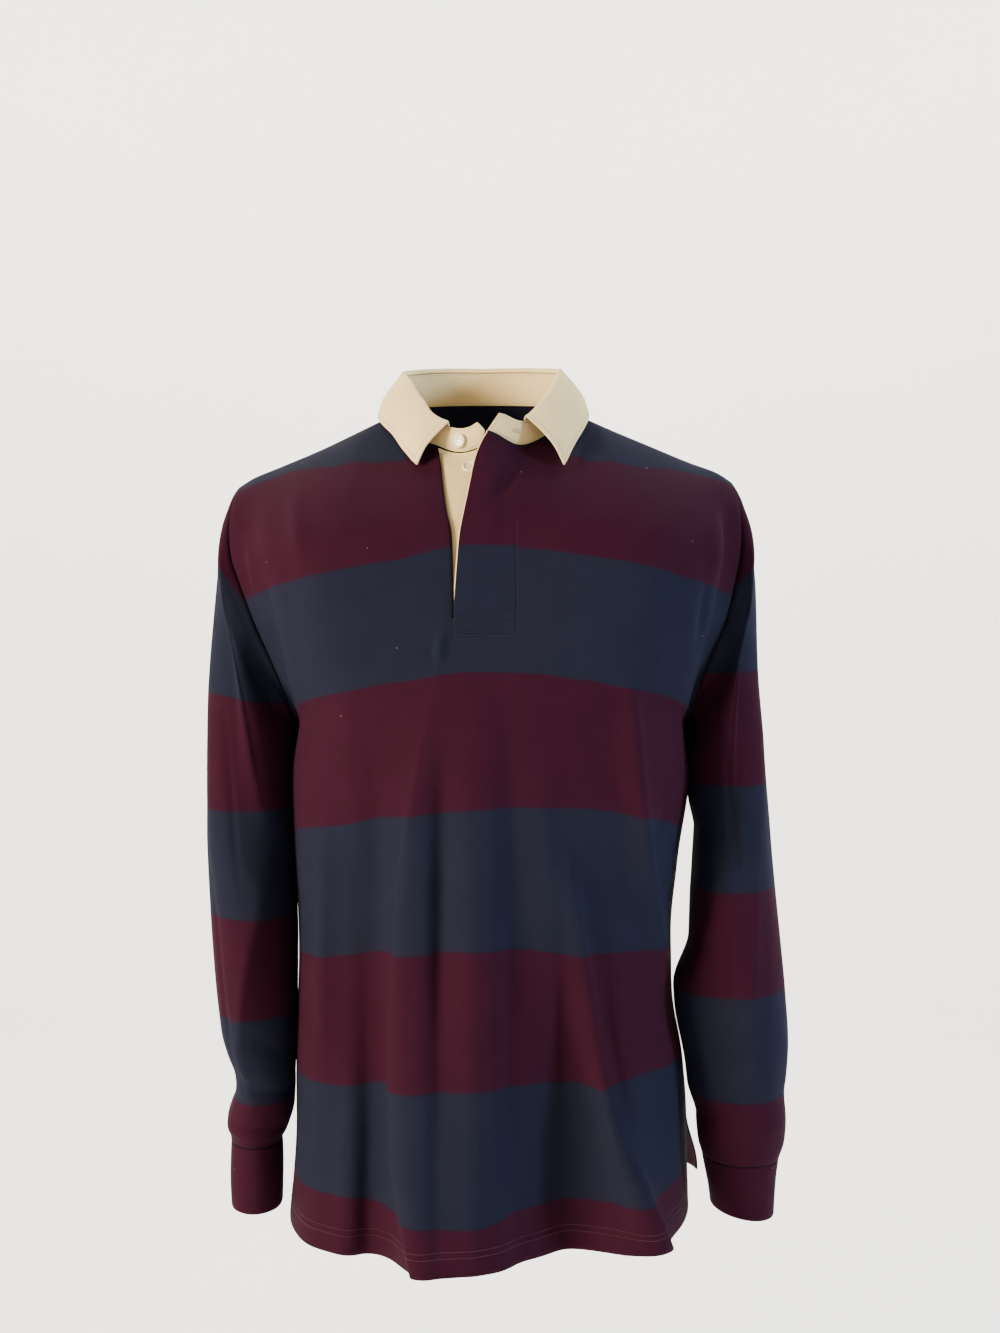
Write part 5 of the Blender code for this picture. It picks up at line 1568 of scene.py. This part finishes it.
@functools.lru_cache(maxsize=1)
def finishes():
    """The materials, made once and shared by the pieces."""
    sizes, colours, _ = settings()
    return {
        "jersey": jersey("striped_jersey", colours, sizes),
        "twill": twill("ecru_twill", colours, sizes),
        "resin": resin("button_resin", colours),
        "dark": thread("dark_thread", colours.thread_dark, deeper(colours.thread_dark, 0.6)),
        "red": thread("burgundy_thread", colours.thread_red, deeper(colours.thread_red, 0.7)),
        "pale": thread("pale_thread", colours.thread_pale, colours.ecru_shade),
    }


class SHIRT_OT_body(bpy.types.Operator):
    """Makes the front and back of striped jersey."""

    bl_idname = "shirt.body"
    bl_label = "Front and back"

    def execute(self, context):
        sizes = settings()[0]
        shapes = cut()
        front, u, t = shapes["front"]
        slit_cells = {(row, shapes["slit"]) for row in range(int(shapes["open"].sum()))}
        marks = panel_marks(front, stripe_places(u, t))
        knitted = finishes()["jersey"]
        piece = shell(
            "front", front, panel_places(front), marks, sizes.jersey, knitted, open_cells=slit_cells
        )
        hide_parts("front_panel")
        back, u, t = shapes["back"]
        marks = panel_marks(back, stripe_places(np.maximum(np.abs(u), LEVEL_U), t))
        piece = shell("back", back, panel_places(back), marks, sizes.jersey, knitted)
        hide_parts("back_panel")
        return {"FINISHED"}


class SHIRT_OT_sleeves(bpy.types.Operator):
    """Makes both sleeves and their cuffs."""

    bl_idname = "shirt.sleeves"
    bl_label = "Sleeves and cuffs"

    def execute(self, context):
        sizes = settings()[0]
        shapes = cut()
        knitted = finishes()["jersey"]
        for side, word, table in ((-1, "right", CUFF_RIGHT), (1, "left", CUFF_LEFT)):
            points, stripe = shapes["sleeves"][side]
            down = run(points, 0)
            edge = np.minimum(down, down[-1:] - down)
            marks = {"stripe": stripe, "edge": edge, "hem": np.full_like(stripe, CLEAR)}
            name, turn = "sleeve_" + word + "_cloth", {"ring": True, "turned": side > 0}
            sleeve = shell(name, points, tube_places(points), marks, sizes.jersey, knitted, **turn)
            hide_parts("sleeve_" + word)
            cuff = fine_cuff(table, side, points[-1])
            flat = np.full(cuff.shape[:2], PLAIN_STRIPE)
            marks = {"stripe": flat, "edge": run(cuff, 0), "hem": flat}
            name = "cuff_" + word + "_cloth"
            piece = shell(
                name, cuff, tube_places(cuff), marks, sizes.cuff_wall, knitted, rounded=1, **turn
            )
            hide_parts("cuff_" + word)
        return {"FINISHED"}


class SHIRT_OT_collar(bpy.types.Operator):
    """Makes the collar's stand and its turned-down leaf."""

    bl_idname = "shirt.collar"
    bl_label = "Collar"

    def execute(self, context):
        sizes = settings()[0]
        shapes = cut()
        woven, wall = finishes()["twill"], sizes.twill_wall
        stand = shapes["stand"]
        marks = {"edge": side_distance(stand) + sizes.topstitch - STAND_STITCH}
        piece = shell("stand", stand, panel_places(stand), marks, wall, woven, rounded=1)
        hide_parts("collar_stand")
        leaf = shapes["leaf"]
        down = run(leaf, 0)
        marks = {"edge": np.minimum(to_sides(leaf, 1), down[-1:] - down)}
        piece = shell("leaf", leaf, panel_places(leaf), marks, wall, woven, turned=True, rounded=1)
        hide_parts("collar_leaf")
        return {"FINISHED"}


class SHIRT_OT_placket(bpy.types.Operator):
    """Makes the placket's underlay, its overlay and the facing that shows along the free edge."""

    bl_idname = "shirt.placket"
    bl_label = "Placket"

    def execute(self, context):
        shapes = cut()
        woven = finishes()["twill"]
        _, u, t = shapes["front"]
        overlay = shapes["overlay"]
        stripe = stripe_places(u, t)[: len(overlay), shapes["slit"] + 1]
        stripe = finer(stripe, OVERLAY_FINER[0])
        outer, places, sewn = overlay_surface()
        stripe = np.broadcast_to(stripe[:, None], outer.shape[:2])
        marks = {"stripe": stripe, "edge": sewn, "hem": np.full_like(sewn, CLEAR)}
        piece = shell("overlay", outer, places, marks, OVERLAY_WALL, finishes()["jersey"])
        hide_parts("placket_overlay")
        underlay = shapes["underlay"]
        marks, wall = {"edge": side_distance(underlay)}, settings()[0].underlay_wall
        under = shell("underlay", underlay, panel_places(underlay), marks, wall, woven, rounded=1)
        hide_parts("placket_underlay")
        shown = int(np.searchsorted(-overlay[:, 2, 2], -FACING_FOOT))
        strip = overlay[:shown, :6].copy()
        away = unit(overlay[:, :1] - overlay[:, 1:2])
        fade = ramp(shown, shown - 6.0, np.arange(shown))[:, None, None]
        strip[:, :1] += away[:shown] * FACING_SHOWN * fade
        strip = strip + grid_normals(strip) * (LAY_GAP - FACING_TUCK)
        marks = {"edge": np.full(strip.shape[:2], CLEAR)}
        facing = shell("facing", strip, panel_places(strip), marks, FACING_WALL, woven)
        return {"FINISHED"}


@functools.lru_cache(maxsize=1)
def overlay_surface():
    """The overlay's outer surface, its places on the cloth, and how far each is from its stitching."""
    base = smooth(cut()["overlay"], *OVERLAY_FINER)
    places = panel_places(base)
    places = places - places[-1, 0]
    across, up = places[..., 0], places[..., 1]
    wide = across[:, -1:]
    right = np.abs(wide - OVERLAY_SEAM - across) + OVERLAY_SEAM * ramp(*SIDE_LINE, up)
    slant_x, slant_y = wide[-1, 0] - 2 * OVERLAY_SEAM, BOX_HEIGHT - SLANT_DROP - OVERLAY_SEAM
    slant = (across - OVERLAY_SEAM) * slant_y - (up - OVERLAY_SEAM) * slant_x
    slant = np.abs(slant) / math.hypot(slant_x, slant_y)
    in_box = np.minimum(np.abs(up - OVERLAY_SEAM), np.abs(across - OVERLAY_SEAM))
    in_box = np.where(up < BOX_HEIGHT, np.minimum(in_box, slant), CLEAR)
    sewn = np.minimum(np.minimum(right, in_box), np.abs(up - BOX_HEIGHT + BOX_LINE))
    share = across / wide
    rise = OVERLAY_RISE + (OVERLAY_LOW - OVERLAY_RISE) * ramp(0.35, 0.95, share)
    rise = rise - BOX_SINK * ramp(BOX_HEIGHT + 0.0006, BOX_HEIGHT - 0.0006, up)
    fold, above, spread = BOX_FOLD
    rise = rise + fold * np.exp(-(((up - BOX_HEIGHT - above) / spread) ** 2)) * ramp(1.0, 0.85, share)
    pressed = EDGE_PRESS * ramp(EDGE_WIDE, 0.0, np.minimum(up, wide - across))
    rise = np.maximum(rise, OVERLAY_LOW) - pressed
    return base + grid_normals(base) * rise[..., None], places, sewn


def button(name, node, grid, x, z):
    """A four-hole button turned from its profile, with its thread, just off the cloth."""
    fine = smooth(grid, 3, 3)
    away = np.hypot(fine[..., 0] - x, fine[..., 2] - z)
    radius = BUTTON_PROFILE[2][0]
    under = fine[away < radius * 1.1]
    out = unit(grid_normals(fine)[away < radius * 1.1].mean(0))
    centre = fine[np.unravel_index(away.argmin(), away.shape)]
    centre = centre + out * (((under - centre) @ out).max() + BUTTON_GAP)
    across = unit(np.cross((0.0, 0.0, 1.0), out))
    along = np.cross(out, across)
    place = posed(across, along, out, centre)
    bm = spun([(r, 0.0, h) for r, h in BUTTON_PROFILE], 72, 1e-6)
    piece = placed(name, bm, finishes()["resin"], smooth_faces=False)
    holes = bmesh.new()
    for k in range(4):
        turn = math.radians(45 + 90 * k)
        spot = Matrix.Translation((HOLE_REACH * math.cos(turn), HOLE_REACH * math.sin(turn), 0.001))
        size = {"radius1": HOLE_RADIUS, "radius2": HOLE_RADIUS, "depth": 0.01}
        bmesh.ops.create_cone(holes, cap_ends=True, segments=20, matrix=spot, **size)
    cutter = linked("holes", mesh_from("holes", holes))
    bore = piece.modifiers.new("holes", "BOOLEAN")
    bore.object, bore.operation, bore.solver = cutter, "DIFFERENCE", "EXACT"
    bpy.context.view_layer.update()
    solid = bpy.data.meshes.new_from_object(piece.evaluated_get(bpy.context.evaluated_depsgraph_get()))
    piece.modifiers.clear()
    piece.data = solid
    bpy.data.objects.remove(cutter)
    solid.transform(place)
    solid.shade_smooth()
    solid.set_sharp_from_angle(angle=math.radians(38))
    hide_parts(node)
    bm = bmesh.new()
    top = BUTTON_PROFILE[-1][1]
    strand = Matrix.Diagonal((*BUTTON_THREAD, 1.0))
    for shift in (-HOLE_REACH * DIAGONAL, HOLE_REACH * DIAGONAL):
        for lift in (-BUTTON_STRANDS, BUTTON_STRANDS):
            move = place @ Matrix.Translation((lift, shift, top + 0.0001)) @ strand
            bmesh.ops.create_icosphere(bm, subdivisions=2, radius=1.0, matrix=move)
    sewn = placed(name + "_thread", bm, finishes()["pale"])


class SHIRT_OT_buttons(bpy.types.Operator):
    """Makes the two buttons and the thread through their holes."""

    bl_idname = "shirt.buttons"
    bl_label = "Buttons"

    def execute(self, context):
        shapes = cut()
        lap = shapes["stand"][:, : (LAP_COLUMNS + 2) * ACROSS]
        button("band_button", "button_band", lap, *BAND_BUTTON)
        x, z = PLACKET_BUTTON
        button("placket_button", "button_placket", shapes["underlay"], x - BUTTON_SHIFT, z)
        return {"FINISHED"}


class SHIRT_OT_stitching(bpy.types.Operator):
    """Sews the hem, the collar, the placket and the buttonhole."""

    bl_idname = "shirt.stitching"
    bl_label = "Stitching"

    def execute(self, context):
        sizes = settings()[0]
        shapes = cut()
        front, back = shapes["front"][0], shapes["back"][0]
        bm = bmesh.new()
        for grid in (front, back):
            for distance in HEM_ROWS:
                stitch_line(bm, grid, *level_line(grid, distance, range(1, grid.shape[1] - 1)), sizes)
        placed("hem_stitches", bm, finishes()["red"])
        leaf, stand = shapes["leaf"], shapes["stand"]
        away = sizes.topstitch
        bm = bmesh.new()
        across = run(leaf[-1:], 1)[0]
        inside = [k for k in range(leaf.shape[1]) if away < across[k] < across[-1] - away]
        stitch_line(bm, leaf, *level_line(leaf, away, inside), sizes, outward=-1.0)
        for end in (0, -1):
            length = run(leaf, 0)[:, end]
            rows = [k for k in range(LEAF_STITCH_TOP, len(leaf)) if length[-1] - length[k] > away]
            stitch_line(bm, leaf, *upright_line(leaf, away, rows, end), sizes, outward=-1.0)
        foot = STAND_STITCH
        span = range(3, stand.shape[1] - 3)
        stitch_line(bm, stand, *level_line(stand, foot, span, end=0), sizes)
        columns = stand.shape[1]
        left, right = (3, (LAP_COLUMNS + 3) * ACROSS), (columns - (STITCH_CELLS + 4) * ACROSS, columns - 3)
        for start, stop in (left, right):
            stitch_line(bm, stand, *level_line(stand, foot, range(start, stop)), sizes)
        for end in (0, -1):
            rows = range(1, len(stand) - 1)
            stitch_line(bm, stand, *upright_line(stand, foot, rows, end), sizes)
        placed("collar_stitches", bm, finishes()["pale"])
        self.sew_placket(sizes)
        self.sew_buttonhole(stand)
        return {"FINISHED"}

    def sew_placket(self, sizes):
        """The stitched side, the box at the foot and its slanting line."""
        outer, places, _ = overlay_surface()
        across, up = places[-1, :, 0], places[:, 0, 1]
        low, wide = OVERLAY_SEAM, places[-1, -1, 0] - OVERLAY_SEAM
        top = BOX_HEIGHT - BOX_LINE
        corners = [(low, top), (wide, top), (wide, low), (low, low), (low, top)]
        lines = list(zip(corners, corners[1:]))
        lines += [((low, low), (wide, BOX_HEIGHT - SLANT_DROP)), ((wide, SIDE_LINE[1]), (wide, top))]
        share = np.linspace(0.0, 1.0, 40)
        bm = bmesh.new()
        for (x_a, y_a), (x_b, y_b) in lines:
            columns = np.interp(x_a + (x_b - x_a) * share, across, np.arange(len(across)))
            rows = np.interp(-(y_a + (y_b - y_a) * share), -up, np.arange(len(up)))
            stitch_line(bm, outer, rows, columns, sizes)
        placed("placket_stitches", bm, finishes()["dark"])

    def sew_buttonhole(self, stand):
        """Short stitches side by side round a slit in the stand's right end."""
        fine = smooth(stand, 2, 2)
        away = np.hypot(fine[..., 0] - BUTTONHOLE[0], fine[..., 2] - BUTTONHOLE[1])
        row, column = np.unravel_index(away.argmin(), away.shape)
        middle = fine[row, column]
        out = grid_normals(fine)[row, column]
        along = unit(fine[row, column - 4] - fine[row, column + 4])
        upright = np.cross(out, along)
        bm = bmesh.new()
        half = BUTTONHOLE_LENGTH / 2

        def sew(at, size, detail):
            """One raised stitch with its middle just above the cloth."""
            axes = [way * part for way, part in zip((along, upright, out), size)]
            matrix = posed(*axes, at + out * 0.0002)
            bmesh.ops.create_icosphere(bm, subdivisions=detail, radius=1.0, matrix=matrix)

        for k in range(BUTTONHOLE_STITCHES):
            place = middle + along * (-half + 2 * half * k / (BUTTONHOLE_STITCHES - 1))
            for sign in (-1.0, 1.0):
                sew(place + upright * sign * BUTTONHOLE_REACH, BUTTONHOLE_STITCH, 1)
        for sign in (-1.0, 1.0):
            sew(middle + along * sign * (half + 0.0003), BUTTONHOLE_BAR, 2)
        placed("buttonhole", bm, finishes()["pale"])


class SHIRT_OT_stage(bpy.types.Operator):
    """Makes the floor and backdrop, the lights, the room's light and the camera."""

    bl_idname = "shirt.stage"
    bl_label = "Stage"

    def execute(self, context):
        stage = settings()[2]
        line = [(0.0, y, stage.floor + z) for y, z in sweep_line()]
        mesh = mesh_from("sweep", spun(line, 96, 1e-5))
        mesh.shade_smooth()
        mesh.materials.append(backdrop("stage_paint", stage.paint))
        sweep = linked("sweep", mesh)
        for name, place, aim, size, colour, power in (
            ("warm_light", (-2.2, -1.5, 0.25), AIM, 0.9, stage.warm, stage.key),
            ("cool_light", (2.5, -0.75, 0.45), CHEST, 0.4, stage.cool, stage.fill),
            ("wall_light", (-1.4, 1.4, 2.6), WALL_AIM, 2.2, stage.paint, stage.wall),
            ("wall_light_right", (1.4, 1.4, 2.6), WALL_AIM, 2.2, stage.paint, stage.wall),
        ):
            lamp = bpy.data.lights.new(name, "AREA")
            lamp.shape, lamp.size, lamp.energy = "SQUARE", size, power
            lamp.color = colour[:3]
            holder = linked(name, lamp)
            holder.location = place
            holder.rotation_euler = (aim - Vector(place)).to_track_quat("-Z", "Y").to_euler()
        world = bpy.data.worlds.new("room")
        world.use_nodes = True
        sky = world.node_tree.nodes["Background"]
        sky.inputs["Color"].default_value = SKY_TONE
        sky.inputs["Strength"].default_value = stage.room
        bpy.context.scene.world = world
        lens = bpy.data.cameras.new("camera")
        lens.lens, lens.sensor_width = CAMERA_LENS, CAMERA_SENSOR
        camera = linked("camera", lens)
        camera.location = CAMERA_PLACE
        camera.rotation_euler = (math.radians(90.0 - CAMERA_PITCH), 0.0, 0.0)
        bpy.context.scene.camera = camera
        return {"FINISHED"}


class SHIRT_PT_pieces(bpy.types.Panel):
    """Lists the pieces, their sizes and their colours."""

    bl_idname = "SHIRT_PT_pieces"
    bl_label = "Long-sleeve polo shirt"
    bl_space_type = "VIEW_3D"
    bl_region_type = "UI"
    bl_category = "Shirt"

    def draw(self, context):
        for piece in PIECES:
            self.layout.operator(piece.bl_idname)
        for group in (context.scene.shirt_sizes, context.scene.shirt_colours, context.scene.shirt_stage):
            box = self.layout.box()
            for word in group.__annotations__:
                box.prop(group, word)


PIECES = (
    SHIRT_OT_stage,
    SHIRT_OT_body,
    SHIRT_OT_sleeves,
    SHIRT_OT_collar,
    SHIRT_OT_placket,
    SHIRT_OT_buttons,
    SHIRT_OT_stitching,
)
GROUPS = {"shirt_sizes": ShirtSizes, "shirt_colours": ShirtColours, "shirt_stage": ShirtStage}


def register():
    for kind in (*GROUPS.values(), *PIECES, SHIRT_PT_pieces):
        bpy.utils.register_class(kind)
    for word, group in GROUPS.items():
        setattr(bpy.types.Scene, word, bpy.props.PointerProperty(type=group))


def unregister():
    for word in GROUPS:
        delattr(bpy.types.Scene, word)
    for kind in (SHIRT_PT_pieces, *reversed(PIECES), *reversed(tuple(GROUPS.values()))):
        bpy.utils.unregister_class(kind)


def main():
    register()
    bpy.ops.shirt.stage()
    bpy.ops.shirt.body()
    bpy.ops.shirt.sleeves()
    bpy.ops.shirt.collar()
    bpy.ops.shirt.placket()
    bpy.ops.shirt.buttons()
    bpy.ops.shirt.stitching()


if __name__ == "__main__":
    main()
